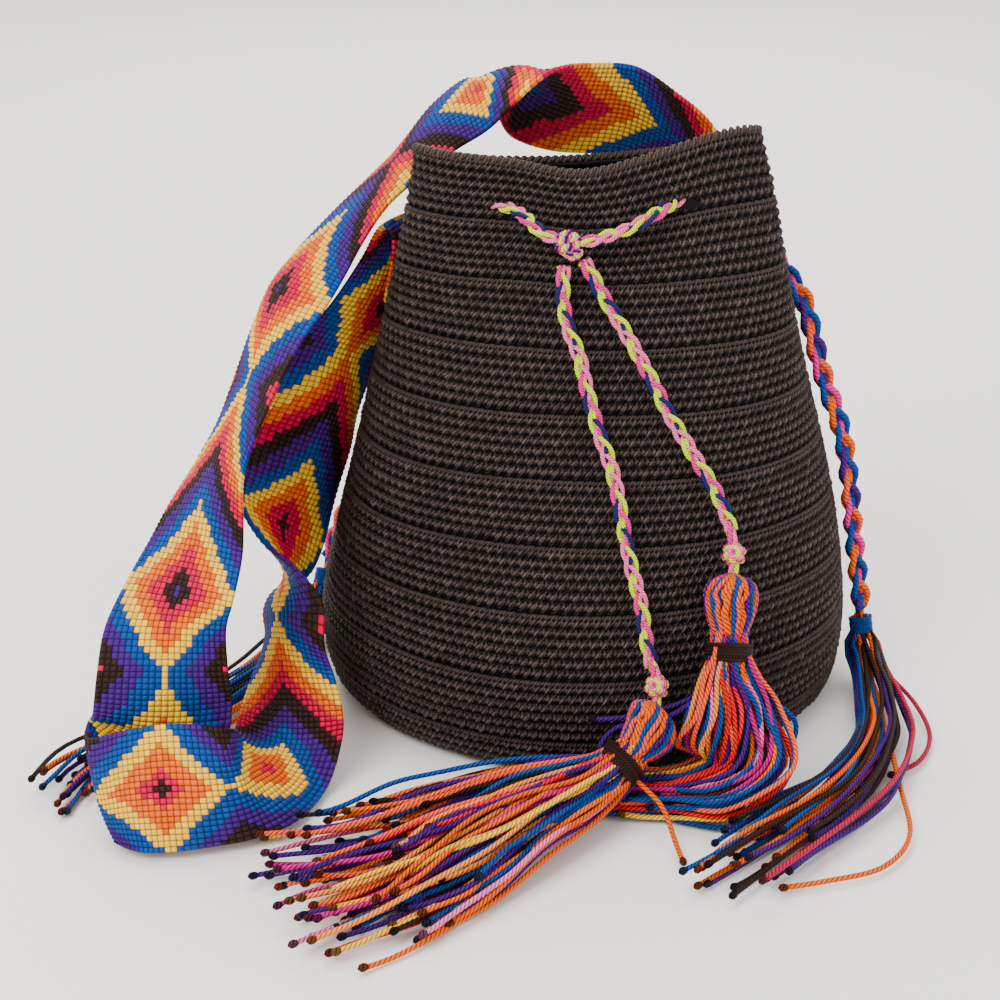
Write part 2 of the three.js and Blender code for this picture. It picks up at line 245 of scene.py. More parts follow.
def spaced(path: Points, count: int) -> Points:
    """A path's points again, evenly spaced along it."""
    lengths = arc_lengths(path)
    wanted = np.linspace(0.0, lengths[-1], count)
    return np.stack([np.interp(wanted, lengths, path[:, k]) for k in range(3)], axis=1)


def tangents(path: Points) -> Points:
    """Unit direction of a path at each of its points."""
    return unit(np.gradient(path, axis=0))


def side_frames(path: Points, facing: Points | None = None) -> tuple[Points, Points]:
    """Two unit directions square to a path at each of its points.

    Args:
        path: The path's points.
        facing: A direction that the first one keeps to, or None for a frame that doesn't twist.

    Returns:
        The first and second direction at each point.
    """
    along = tangents(path)
    if facing is not None:
        first = unit(facing - along * np.sum(along * facing, axis=1, keepdims=True))
        return first, np.cross(along, first)
    start = np.array([0.0, 0.0, 1.0]) if abs(along[0][2]) < 0.9 else np.array([1.0, 0.0, 0.0])
    first = np.zeros_like(path)
    kept = start
    for i, direction in enumerate(along):
        kept = kept - direction * float(np.dot(direction, kept))
        kept = kept / max(float(np.linalg.norm(kept)), 1e-9)
        first[i] = kept
    return first, np.cross(along, first)


class MeshBuilder:
    """Collects sheets and tubes, and makes one mesh object of them."""

    def __init__(self) -> None:
        """Start empty."""
        self.points: list[Points] = []
        self.quads: list[Points] = []
        self.triangles: list[Points] = []
        self.quad_tints: list[Points] = []
        self.triangle_tints: list[Points] = []
        self.quad_uvs: list[Points] = []
        self.count = 0

    def grid(
        self,
        points: Points,
        tints: Points,
        around: bool = True,
        capped: bool = False,
        uv: tuple[Points, Points] | None = None,
        flip: bool = False,
    ) -> None:
        """Add a sheet or tube of quads.

        Args:
            points: Its points, as rows by columns by 3.
            tints: One colour, or a colour per point, or per quad.
            around: Whether its last column joins its first.
            capped: Whether its first and last rows are closed with a flat cap.
            uv: Texture coordinates of the rows and of the columns.
            flip: Whether its faces turn the other way.
        """
        rows, columns = points.shape[:2]
        index = np.arange(rows * columns).reshape(rows, columns) + self.count
        wide = columns if around else columns - 1
        right = np.roll(index, -1, axis=1)[:, :wide]
        left = index[:, :wide]
        quads = np.stack([left[:-1], right[:-1], right[1:], left[1:]], axis=-1).reshape(-1, 4)
        colours = self._corner_tints(tints, rows, wide)
        across = np.zeros((rows - 1, wide, 4, 2))
        if uv is not None:
            u, v = uv
            v_right = np.append(v[1:], 2 * v[-1] - v[-2])[:wide]
            across[..., 0] = np.stack([u[:-1], u[:-1], u[1:], u[1:]], axis=-1)[:, None, :]
            across[..., 1] = np.stack([v[:wide], v_right, v_right, v[:wide]], axis=-1)[None]
        across = across.reshape(-1, 4, 2)
        if flip:
            quads, colours, across = quads[:, ::-1], colours[:, ::-1], across[:, ::-1]
        self.points.append(points.reshape(-1, 3))
        self.quads.append(quads)
        self.quad_tints.append(colours)
        self.quad_uvs.append(across)
        self.count += rows * columns
        if capped:
            first_tint, last_tint = colours[0, 0], colours[-1, 0]
            self._cap(points[0], index[0], first_tint, not flip)
            self._cap(points[-1], index[-1], last_tint, flip)

    def _corner_tints(self, tints: Points, rows: int, wide: int) -> Points:
        """Colour of each quad's four corners, from colours given in any of three ways."""
        tints = np.asarray(tints, float)
        if tints.ndim == 1:
            return np.broadcast_to(tints, ((rows - 1) * wide, 4, 3)).copy()
        if tints.shape[0] == rows:
            right = np.roll(tints, -1, axis=1)[:, :wide]
            left = tints[:, :wide]
            return np.stack([left[:-1], right[:-1], right[1:], left[1:]], axis=2).reshape(-1, 4, 3)
        return np.repeat(tints.reshape(-1, 1, 3), 4, axis=1)

    def _cap(self, ring: Points, index: Points, tint: Points, turned: bool) -> None:
        """Close a ring with triangles to its middle."""
        middle = self.count
        self.points.append(ring.mean(axis=0, keepdims=True))
        self.count += 1
        after = np.roll(index, -1)
        pair = (after, index) if turned else (index, after)
        self.triangles.append(np.stack([np.full_like(index, middle), *pair], axis=-1))
        self.triangle_tints.append(np.broadcast_to(tint, (len(index), 3, 3)).copy())

    def tube(
        self,
        path: Points,
        radius: float | Points,
        tint: Points,
        sides: int = 6,
        lay: float = 6 * MM,
        facing: Points | None = None,
    ) -> None:
        """Add a round cord along a path.

        Args:
            path: The cord's centreline.
            radius: Its radius, one number or one per point.
            tint: Its colour.
            sides: How many sides it has.
            lay: Length along it in which a ply goes once round.
            facing: A direction that its first side keeps to.
        """
        first, second = side_frames(path, facing)
        angles = np.arange(sides) * 2 * math.pi / sides
        size = np.broadcast_to(np.asarray(radius, float), (len(path),))[:, None, None]
        cosines, sines = np.cos(angles)[None, :, None], np.sin(angles)[None, :, None]
        ring = cosines * first[:, None] + sines * second[:, None]
        points = path[:, None] + ring * size
        uv = (arc_lengths(path) / lay * 3.0, np.arange(sides) / sides * 3.0)
        self.grid(points, tint, True, True, uv)

    def knot(
        self, centre: Points, radius: float, tint: Points, stretch: float = 1.0, axis: Points | None = None
    ) -> None:
        """Add a small round knot."""
        along = unit(np.array([0.0, 0.0, 1.0]) if axis is None else np.asarray(axis, float))
        turns = np.linspace(-0.97, 0.97, 6)
        path = np.asarray(centre) + along * (turns * radius * stretch)[:, None]
        self.tube(path, radius * np.sqrt(1 - turns**2), tint, 7)

    def make(self, name: str, finish: Finish) -> bpy.types.Object:
        """Make the object.

        Args:
            name: Its name.
            finish: The yarn it is made of.

        Returns:
            The object, at the origin.
        """
        quads = np.vstack(self.quads)
        triangles = np.vstack(self.triangles) if self.triangles else np.zeros((0, 3), int)
        loops = np.concatenate([quads.ravel(), triangles.ravel()]).astype(np.int32)
        starts = np.concatenate([np.arange(len(quads)) * 4, len(quads) * 4 + np.arange(len(triangles)) * 3])
        mesh = bpy.data.meshes.new(name)
        points = np.vstack(self.points)
        mesh.vertices.add(len(points))
        mesh.vertices.foreach_set("co", points.ravel().astype(np.float32))
        mesh.loops.add(len(loops))
        mesh.loops.foreach_set("vertex_index", loops)
        mesh.polygons.add(len(starts))
        mesh.polygons.foreach_set("loop_start", starts.astype(np.int32))
        mesh.polygons.foreach_set("use_smooth", np.ones(len(starts), bool))
        mesh.update(calc_edges=True)
        tints = [part.reshape(-1, 3) for part in self.quad_tints + self.triangle_tints]
        colours = np.ones((len(loops), 4), np.float32)
        colours[:, :3] = np.clip(np.vstack(tints), 0.0, 1.0)
        attribute = mesh.color_attributes.new("tint", "FLOAT_COLOR", "CORNER")
        attribute.data.foreach_set("color", colours.ravel())
        uvs = np.zeros((len(loops), 2), np.float32)
        uvs[: len(quads) * 4] = np.vstack(self.quad_uvs).reshape(-1, 2)
        layer = mesh.uv_layers.new(name="UVMap")
        layer.data.foreach_set("uv", uvs.ravel())
        mesh.validate()
        made = bpy.data.objects.new(name, mesh)
        bpy.context.collection.objects.link(made)
        made.data.materials.append(yarn_material(finish))
        count = 2 * len(quads) + len(triangles)
        LOG.info("%s has %d triangles", name, count)
        return made


def place(piece: bpy.types.Object, slot: str, *nodes: str) -> bpy.types.Object:
    """Fix a finished piece to the bag, in the place of its CAD nodes.

    Args:
        piece: The finished object.
        slot: Not used.
        nodes: The CAD nodes that it stands for.

    Returns:
        The same object.
    """
    if nodes:
        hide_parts(*nodes)
    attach(piece, "root")
    return piece


# The bag's shape: height, half width, half depth, sideways shift and roundness, in millimetres
BAG_SECTIONS = np.array(
    [
        [0, 114, 112, 1.5, 2],
        [3.5, 124, 121, 1.5, 2],
        [12, 130, 126, 1.5, 2],
        [35, 132, 126, 1.5, 2],
        [65, 127.5, 116, 2, 2],
        [100, 120, 101, 2.8, 2],
        [140, 110, 83, 4, 1.98],
        [175, 101, 68, 4.5, 1.95],
        [210, 93, 52, 3.5, 1.9],
        [240, 86.5, 38, 1.5, 1.85],
        [266, 80.5, 27, -1, 1.8],
    ]
)
# Where the drawstring goes through the wall
EYELETS = np.array(
    [
        [46, -35.5, 243.5],
        [-33, -34, 239.5],
        [44, 31, 243],
        [8, 37, 242],
        [-14, 37, 242],
        [-44, 31, 242],
    ],
    float,
)
# Reach of an eyelet's opening along each axis, in millimetres, and how far its edge is pushed in
EYELET_REACH = np.array([7.5, 9.0, 2.6])
EYELET_DEPTH = 3.2


@dataclass(frozen=True)
class Swell:
    """A smooth rise or dip along the front of the wall, in millimetres."""

    at: float
    width: float
    height: float

    def across(self, x: Points) -> Points:
        """Its height at places across the bag."""
        return self.height * np.exp(-(((x - self.at) / self.width) ** 2))


# The front is pressed in left of the knot and stands out at the left edge, more so towards the mouth
FRONT_PRESSED_IN = Swell(-28, 17, 5.0)
FRONT_STANDS_OUT = Swell(-62, 14, 2.0)
# The front of the rim dips at the middle and rises at the right
RIM_DIP = Swell(-4, 30, 6.0)
RIM_RISE = Swell(62, 22, 2.5)
BACK_RIM_DROP = 5.0


@dataclass(frozen=True)
class BagSize:
    """Sizes of the crocheted bag, in millimetres."""

    wall: float = 3.0
    stitch_width: float = 4.9
    relief: float = 2.1
    bands: int = 10
    rows_per_band: int = 6
    chain_share: float = 0.5
    press_starts: float = 150.0
    press_grows_over: float = 90.0
    sway_starts: float = 210.0
    top: float = 266.0


class BagShape:
    """The smooth surface that the stitches follow."""

    def __init__(self, size: BagSize) -> None:
        """Work out the curves of the wall."""
        self.size = size
        self.heights = np.linspace(0.0, size.top, 267)
        table = smooth_curve(BAG_SECTIONS[:, :3], 24)
        extra = smooth_curve(np.hstack([BAG_SECTIONS[:, :1], BAG_SECTIONS[:, 3:]]), 24)
        order = np.argsort(table[:, 0])
        self.wide = np.interp(self.heights, table[order, 0], table[order, 1])
        self.deep = np.interp(self.heights, table[order, 0], table[order, 2])
        order = np.argsort(extra[:, 0])
        self.shift = np.interp(self.heights, extra[order, 0], extra[order, 1])
        self.round = np.interp(self.heights, extra[order, 0], extra[order, 2])
        slope = np.diff(self.wide + self.deep) / 2
        self.rise = np.concatenate([[0.0], np.cumsum(np.hypot(np.diff(self.heights), slope))])
        self.angles = np.radians(90.0) + np.linspace(0.0, 2 * math.pi, 721)

    def section(self, height: float, angles: Points, inset: float) -> Points:
        """Points of the wall at a height and at some angles, in millimetres."""
        wide = np.interp(height, self.heights, self.wide) - inset
        deep = np.interp(height, self.heights, self.deep) - inset
        shift = np.interp(height, self.heights, self.shift)
        power = 2 / np.interp(height, self.heights, self.round)
        c, s = np.cos(angles), np.sin(angles)
        x = shift + wide * np.sign(c) * np.abs(c) ** power
        y = deep * np.sign(s) * np.abs(s) ** power
        share = max(0.0, height - self.size.sway_starts) / (self.size.top - self.size.sway_starts)
        sway = 263.5 + 4 * c + 3.5 * np.cos(2 * angles) - 2 * s - self.size.top
        front = np.clip(-s * 3, 0.0, 1.0)
        near_top = min(1.0, max(0.0, (height - self.size.press_starts) / self.size.press_grows_over)) ** 1.5
        y = y + front * near_top * (FRONT_PRESSED_IN.across(x) - FRONT_STANDS_OUT.across(x))
        sway = sway - front * RIM_DIP.across(x) + front * RIM_RISE.across(x)
        sway = sway - np.clip(s * 3, 0.0, 1.0) * BACK_RIM_DROP
        fold = 0.9 * np.sin(3 * angles + height / 37) + 0.7 * np.sin(5 * angles - height / 23)
        x = x + fold * c * min(1.0, height / 60)
        y = y + fold * s * min(1.0, height / 60)
        return np.stack([x, y, height + share * sway], axis=1)

    def row(self, share: float, turns: Points, inset: float = 0.0) -> Points:
        """Points of the wall a share of the way up it.

        Args:
            share: From 0 at the base's edge to 1 at the rim.
            turns: Shares of the way round, from the back and by the left side.
            inset: Distance inside the outer surface, in millimetres.

        Returns:
            The points, in millimetres.
        """
        height = float(np.interp(share * self.rise[-1], self.rise, self.heights))
        lengths = arc_lengths(self.section(height, self.angles, inset))
        angles = np.interp(turns * lengths[-1], lengths, self.angles)
        return self.section(height, angles, inset)

    def girth(self, share: float) -> float:
        """Distance round the wall a share of the way up it, in millimetres."""
        return float(arc_lengths(self.row(share, np.linspace(0, 1, 200)))[-1])


def strand(
    u: Points, v: Points, start: tuple[float, float], end: tuple[float, float], radius: float
) -> Points:
    """Height, from 0 to 1, of a round strand that lies between two places."""
    dx, dy = end[0] - start[0], end[1] - start[1]
    t = np.clip(((u - start[0]) * dx + (v - start[1]) * dy) / (dx * dx + dy * dy), 0.0, 1.0)
    gap = np.hypot(u - start[0] - t * dx, v - start[1] - t * dy) / radius
    return np.sqrt(np.clip(1.0 - gap**2, 0.0, 1.0))


# Strands of one stitch as start and end, in shares of its width and height: two on top, two legs
TOP_STRANDS = (((0.00, 0.50), (0.34, 0.90)), ((0.50, 0.50), (0.84, 0.90)))
LEG_STRANDS = (((0.10, 0.46), (0.40, 0.02)), ((0.40, 0.02), (0.72, 0.46)))


def stitch_relief(u: Points, v: Points) -> Points:
    """Height, from 0 to 1, of the yarn in one crocheted stitch at places from 0 to 1 across and up it."""
    ridge_height, leg_height, pocket_depth = 0.52, 0.60, 0.60
    ridge = np.sqrt(np.clip(1.0 - ((v - 0.70) / 0.30) ** 2, 0.0, 1.0))
    height = ridge * ridge_height
    for step in (-1.0, 0.0, 1.0):
        for start, end in TOP_STRANDS:
            height = np.maximum(height, strand(u - step, v, start, end, 0.21))
        for start, end in LEG_STRANDS:
            height = np.maximum(height, leg_height * strand(u - step, v, start, end, 0.13))
    beside = np.abs((u + 0.42) % 1.0 - 0.5) / 0.15
    pocket = np.exp(-(beside**2) - ((v - 0.42) / 0.26) ** 2)
    return np.clip(height - pocket_depth * pocket, 0.0, 1.0)


def chain_relief(u: Points, v: Points) -> Points:
    """Height, from 0 to 1, of the slanted chain between two bands of stitches."""
    height = np.zeros(np.broadcast(u, v).shape)
    for step in (-1.0, 0.0, 1.0):
        height = np.maximum(height, strand(u - step, v, (-0.15, 0.25), (1.15, 0.75), 0.34))
    return height


class CrochetBag:
    """The bag: stitched outside, smooth lining surface, and twisted rim."""

    # Painted shade: the gap colour below is near black and stands for the shade in the gaps between stitches,
    # in the eyelet openings and on the lining; stitches lower than DARK_BELOW fade to it, and CHAIN_SHADE
    # dims the chains' painted shade further. LIT is the yarn's own colour on the stitch tops.
    GAP_SHADE = np.array([0.0030, 0.0018, 0.0016])
    LIT = np.array([0.104, 0.070, 0.058])
    DARK_BELOW = 0.42
    CHAIN_SHADE = 0.55

    def __init__(self, size: BagSize) -> None:
        """Keep the sizes and work out the shape."""
        self.size = size
        self.shape = BagShape(size)
        self.random = np.random.default_rng(11)

    def build(self) -> list[bpy.types.Object]:
        """Build every piece of the bag.

        Returns:
            The pieces.
        """
        half = self.size.bands // 2
        made = [
            self._stitches("bag_front_low", 0, half, (0.25, 0.75), 6),
            self._stitches("bag_front_high", half, self.size.bands, (0.25, 0.75), 6),
            self._stitches("bag_back", 0, self.size.bands, (0.75, 1.25), 4),
            self._lining(),
            self._rim(),
        ]
        for piece in made:
            place(piece, "crochet_brown", "bag_body")
        return made

    def _stitches(
        self, name: str, first: int, last: int, turn: tuple[float, float], fine: int
    ) -> bpy.types.Object:
        """Build the stitches of some bands, over part of the way round."""
        builder = MeshBuilder()
        for band in range(first, last):
            low, high = band / self.size.bands, (band + 1) / self.size.bands
            count = round(self.shape.girth((low + high) / 2) / self.size.stitch_width)
            columns = np.arange(math.ceil(turn[0] * count), math.ceil(turn[1] * count))
            u = np.arange(len(columns) * fine + 1) / fine + columns[0]
            rows = self.size.rows_per_band
            edges = np.arange(rows * fine + 1) / fine
            chain = rows + np.arange(1, 4) / 3 * self.size.chain_share
            v = np.concatenate([edges, chain])
            total = rows + self.size.chain_share
            self._band(builder, u, v, low, (high - low) / total, count)
        return builder.make(name, CROCHET)

    def _band(self, builder: MeshBuilder, u: Points, v: Points, low: float, step: float, count: int) -> None:
        """Add one band's grid of stitches, raised along the wall's normal, with painted shade darkening the
        gaps between them.
        """
        shifts = self.random.normal(0.0, 0.035, (len(v), 1)) * 0.4
        turns = np.mod(u / count, 1.0)
        base = np.stack([self.shape.row(min(1.0, low + x * step), turns, 1.0) for x in v])
        row_number = np.minimum(np.floor(v - 1e-9), self.size.rows_per_band).astype(int)
        row_number = np.maximum(row_number, 0)
        slant = row_number * 0.37
        across = np.mod(u[None, :] + slant[:, None] + shifts, 1.0)
        cells = np.floor(u[None, :] + slant[:, None]).astype(int)
        up = (v - row_number)[:, None] * np.ones_like(across)
        is_chain = row_number[:, None] >= self.size.rows_per_band
        table = self.random.normal(0.0, 1.0, (self.size.rows_per_band + 1, count * 2 + 40))
        jitter = table[row_number[:, None], np.mod(cells, count)]
        up_moved = np.clip(up + 0.03 * jitter, 0.0, 1.0)
        height = stitch_relief(across, up_moved)
        height = np.where(is_chain, chain_relief(across, up / self.size.chain_share), height)
        bulge = np.where(is_chain, 0.0, np.sin(np.clip(up, 0, 1) * math.pi))
        normal = unit(np.cross(np.gradient(base, axis=1), np.gradient(base, axis=0)))
        lift = self.size.relief * (height * (1 + 0.06 * jitter) - 0.55) + 0.45 * bulge
        # Painted shade: the colour darkens from the yarn's towards the gap's where the relief is low, with
        # random tone from stitch to stitch.
        raised = np.clip((height[..., None] - self.DARK_BELOW) / (1.0 - self.DARK_BELOW), 0.0, 1.0)
        shade = raised**1.5 * (1 + 0.14 * jitter[..., None])
        shade = np.where(is_chain[..., None], self.CHAIN_SHADE * shade, shade)
        for eyelet in EYELETS:
            off = (base - eyelet) / EYELET_REACH
            hole = np.clip(1.25 - np.linalg.norm(off, axis=-1), 0.0, 1.0) * 4
            hole = np.clip(hole, 0.0, 1.0)
            lift = lift * (1 - hole) - EYELET_DEPTH * hole
            # Painted shade: the eyelet openings take the gap's near-black colour.
            shade = shade * (1 - hole[..., None])
        colour = self.GAP_SHADE + (self.LIT - self.GAP_SHADE) * np.clip(shade, 0.0, 1.3)
        plies = (-1.7 * np.mod(v, 1.0), 3.0 * u)
        builder.grid((base + normal * lift[..., None]) * MM, colour, around=False, uv=plies)

    def _lining(self) -> bpy.types.Object:
        """Build the closed wall behind the stitches, with the base and the inside, painted near black as
        shade.
        """
        builder = MeshBuilder()
        turns = np.arange(150) / 150
        wall = [self.shape.row(x, turns, 2.3) for x in np.linspace(0.0, 1.0, 90)]
        inner = [self.shape.row(x, turns, self.size.wall + 1.0) for x in np.linspace(1.0, 0.02, 90)]
        for ring in inner:
            ring[:, 2] = np.maximum(ring[:, 2], 3.0)
        for ring in wall + inner[:3]:
            ring[:, 2] = ring[:, 2] - 1.2 * (ring[:, 2] > 240)
        wall[0][:, 2] = 0.3
        # Painted shade: the lining takes three times the near-black gap colour.
        builder.grid(np.stack(wall + inner) * MM, self.GAP_SHADE * 3.0, True, True)
        return builder.make("bag_lining", CROCHET)

    def _rim(self) -> bpy.types.Object:
        """Build the twisted chain along the mouth's edge."""
        builder = MeshBuilder()
        turns = np.linspace(0.0, 1.0, 700)
        line = self.shape.row(1.0, turns, 1.6)
        line[:, 2] += 0.2
        away = unit(np.stack([line[:, 0], line[:, 1] * 3, np.zeros(len(line))], axis=1))
        phase = arc_lengths(line) / arc_lengths(line)[-1] * 2 * math.pi * 48
        up = np.array([0.0, 0.0, 1.0])
        for k in range(2):
            angle = phase + k * math.pi
            path = line + (np.cos(angle)[:, None] * away * 1.1 + np.sin(angle)[:, None] * up * 1.0)
            builder.tube(path * MM, 1.15 * MM, self.LIT * 0.75, 7, 5 * MM, up)
        return builder.make("bag_rim", TWISTED)


# Front edge, middle and back edge of the strap from its left end to its right end, in millimetres
STRAP_STATIONS = np.array(
    [
        [[-96, 10, 186], [-80, 37, 187], [-52, 57, 188]],
        [[-91, 8, 214], [-74, 33, 215], [-44, 50, 217]],
        [[-94, 7, 224], [-78, 35, 226], [-53, 56, 227]],
        [[-99, 7, 221], [-85, 35, 220], [-65, 58, 218]],
        [[-106, 8, 209], [-90, 30, 203], [-78, 53, 197]],
        [[-119, 1, 191], [-98, 20, 181], [-88, 44, 173]],
        [[-134, -10, 174], [-114, 8, 162], [-102, 32, 150]],
        [[-147, -12, 151], [-120, -2, 142], [-112, 20, 128]],
        [[-158, -13, 132], [-130, -8, 121], [-116, 16, 109]],
        [[-163, -30, 115], [-137, -20, 103], [-123, 5, 88]],
        [[-162, -53, 107], [-145, -35, 89], [-127, -22, 72]],
        [[-150, -70, 95], [-143, -47, 77], [-135, -26, 57]],
        [[-132, -83, 85], [-142, -60, 68], [-150, -36, 53]],
        [[-121, -88, 71], [-144, -70, 61], [-154, -46, 47]],
        [[-120, -99, 56], [-143, -80, 55], [-152, -57, 37]],
        [[-115, -110, 46], [-140, -94, 39], [-157, -73, 26]],
        [[-111, -118, 34], [-138, -106, 27], [-161, -88, 18]],
        [[-111, -123, 20], [-138, -120, 16], [-162, -104, 16]],
        [[-117, -137, 4], [-141, -138, 16], [-160, -119, 22]],
        [[-127, -164, 4], [-146, -157, 22], [-157, -136, 33]],
        [[-144, -178, 4], [-151, -173, 27], [-159, -153, 43]],
        [[-161, -184, 4], [-164, -179, 29], [-170, -157, 47]],
        [[-177, -188, 4], [-179, -179, 29], [-184, -157, 47]],
        [[-191, -188, 4], [-196, -175, 25], [-200, -155, 43]],
        [[-202, -179, 4], [-212, -164, 16], [-217, -149, 36]],
        [[-196, -161, 5], [-210, -150, 19], [-221, -140, 35]],
        [[-178, -146, 9], [-200, -141, 22], [-221, -136, 37]],
        [[-163, -137, 22], [-191, -138, 29], [-219, -137, 40]],
        [[-158, -133, 40], [-187, -138, 40], [-217, -141, 45]],
        [[-158, -135, 61], [-185, -137, 62], [-215, -135, 61]],
        [[-158, -134, 80], [-184, -130, 79], [-213, -122, 76]],
        [[-154, -135, 95], [-180, -120, 93], [-206, -105, 90]],
        [[-151, -123, 110], [-175, -106, 108], [-198, -87, 102]],
        [[-151, -114, 124], [-172, -92, 124], [-191, -71, 113]],
        [[-152, -102, 137], [-168, -76, 137], [-182, -53, 125]],
        [[-149, -87, 148], [-162, -60, 150], [-173, -34, 139]],
        [[-140, -67, 167], [-155, -42, 166], [-166, -16, 157]],
        [[-131, -48, 182], [-151, -26, 182], [-160, 1, 173]],
        [[-120, -28, 195], [-144, -10, 198], [-150, 19, 193]],
        [[-112, -18, 207], [-132, 5, 211], [-137, 34, 208]],
        [[-104, -5, 220], [-116, 20, 226], [-121, 49, 223]],
        [[-93, 8, 234], [-100, 35, 240], [-103, 65, 238]],
        [[-77, 20, 246], [-88, 45, 252], [-89, 75, 250]],
        [[-61, 26, 257], [-71, 49, 269], [-73, 78, 270]],
        [[-46, 22, 267], [-52, 46, 281], [-56, 74, 283]],
        [[-34, 18, 279], [-40, 45, 291], [-50, 70, 275]],
        [[-24, 16, 289], [-29, 45, 292], [-42, 65, 268]],
        [[-13, 18, 296], [-23, 44, 283], [-34, 60, 257]],
        [[3, 22, 298], [-4, 43, 275], [-13, 61, 250]],
        [[24, 26, 296], [22, 44, 272], [18, 61, 248]],
        [[43, 28, 284], [42, 47, 262], [38, 62, 240]],
        [[60, 29, 270], [60, 48, 246], [56, 63, 224]],
        [[74, 31, 248], [69, 51, 228], [60, 66, 206]],
        [[88, 27, 216], [79, 47, 205], [63, 64, 189]],
    ],
    float,
)


@dataclass(frozen=True)
class Mark:
    """A place on the strap where the pattern has a diamond or a crossing.

    Attributes:
        station: Which strap station it lies at.
        rings: Rings of colour from the strap's left end.
        core: Colour number in a diamond's middle, or None at a crossing.
        slope: Rings of colour from a diamond's middle line to the strap's edge.
        dot: Whether a diamond has a dot of the colour before its core's.
    """

    station: float
    rings: float
    core: float | None
    slope: float = 3.8
    dot: bool = False


PATTERN = (
    Mark(0.0, -11.5, None),
    Mark(5.0, 0.0, 0),
    Mark(6.1, 2.5, None),
    Mark(10.0, 11.0, 0, 3.5),
    Mark(13.7, 14.5, None),
    Mark(18.3, 23.0, 1, 3.2),
    Mark(20.2, 25.5, None),
    Mark(22.1, 28.5, 0.5, 2.9, True),
    Mark(24.2, 31.5, None),
    Mark(26.4, 34.5, 0.5, 2.9),
    Mark(28.9, 37.5, None),
    Mark(31.0, 41.5, -0.5, 3.7, True),
    Mark(35.9, 51.5, None),
    Mark(38.0, 55.5, -0.5, 3.7, True),
    Mark(41.8, 62.5, None),
    Mark(44.1, 68.0, 1, 3.1),
    Mark(45.7, 73.5, None),
    Mark(46.9, 76.0, 4, 2.6),
    Mark(51.3, 84.5, None),
    Mark(54.0, 90.0, 1),
)
CYCLE = (Yarn.BROWN, Yarn.PINK, Yarn.ORANGE, Yarn.YELLOW, Yarn.BLUE, Yarn.PURPLE)


def pattern_colour(rings: float, across: float) -> int:
    """Number of the colour at a place on the strap.

    Args:
        rings: Rings of colour from the strap's left end.
        across: From -1 at one edge to 1 at the other.

    Returns:
        A place in CYCLE.
    """
    diamonds = [m for m in PATTERN if m.core is not None]
    crossings = [m.rings for m in PATTERN if m.core is None]
    low = max((m for m in diamonds if m.rings <= rings), key=lambda m: m.rings, default=None)
    high = min((m for m in diamonds if m.rings > rings), key=lambda m: m.rings, default=None)
    if low is None:
        return round(high.core + (high.rings - rings) + high.slope * abs(across)) % 6
    from_low = rings - low.rings + low.slope * abs(across)
    if high is None:
        return round(low.core + from_low) % 6
    from_high = high.rings - rings + high.slope * abs(across)
    cross = next(c for c in crossings if low.rings < c < high.rings)
    past_low, past_high = from_low - (cross - low.rings), from_high - (high.rings - cross)
    for mark, away, past in ((low, from_low, past_low), (high, from_high, past_high)):
        if mark.dot and away < 0.30:
            return round(mark.core - 0.7) % 6
        if past <= 0:
            return round(mark.core + away) % 6
    return round(low.core + (cross - low.rings) + min(past_low, past_high)) % 6


@dataclass(frozen=True)
class StrapSize:
    """Sizes of the strap, in millimetres."""

    width: float = 60.0
    thickness: float = 2.0
    relief: float = 0.75
    columns: int = 21
    rows: int = 384


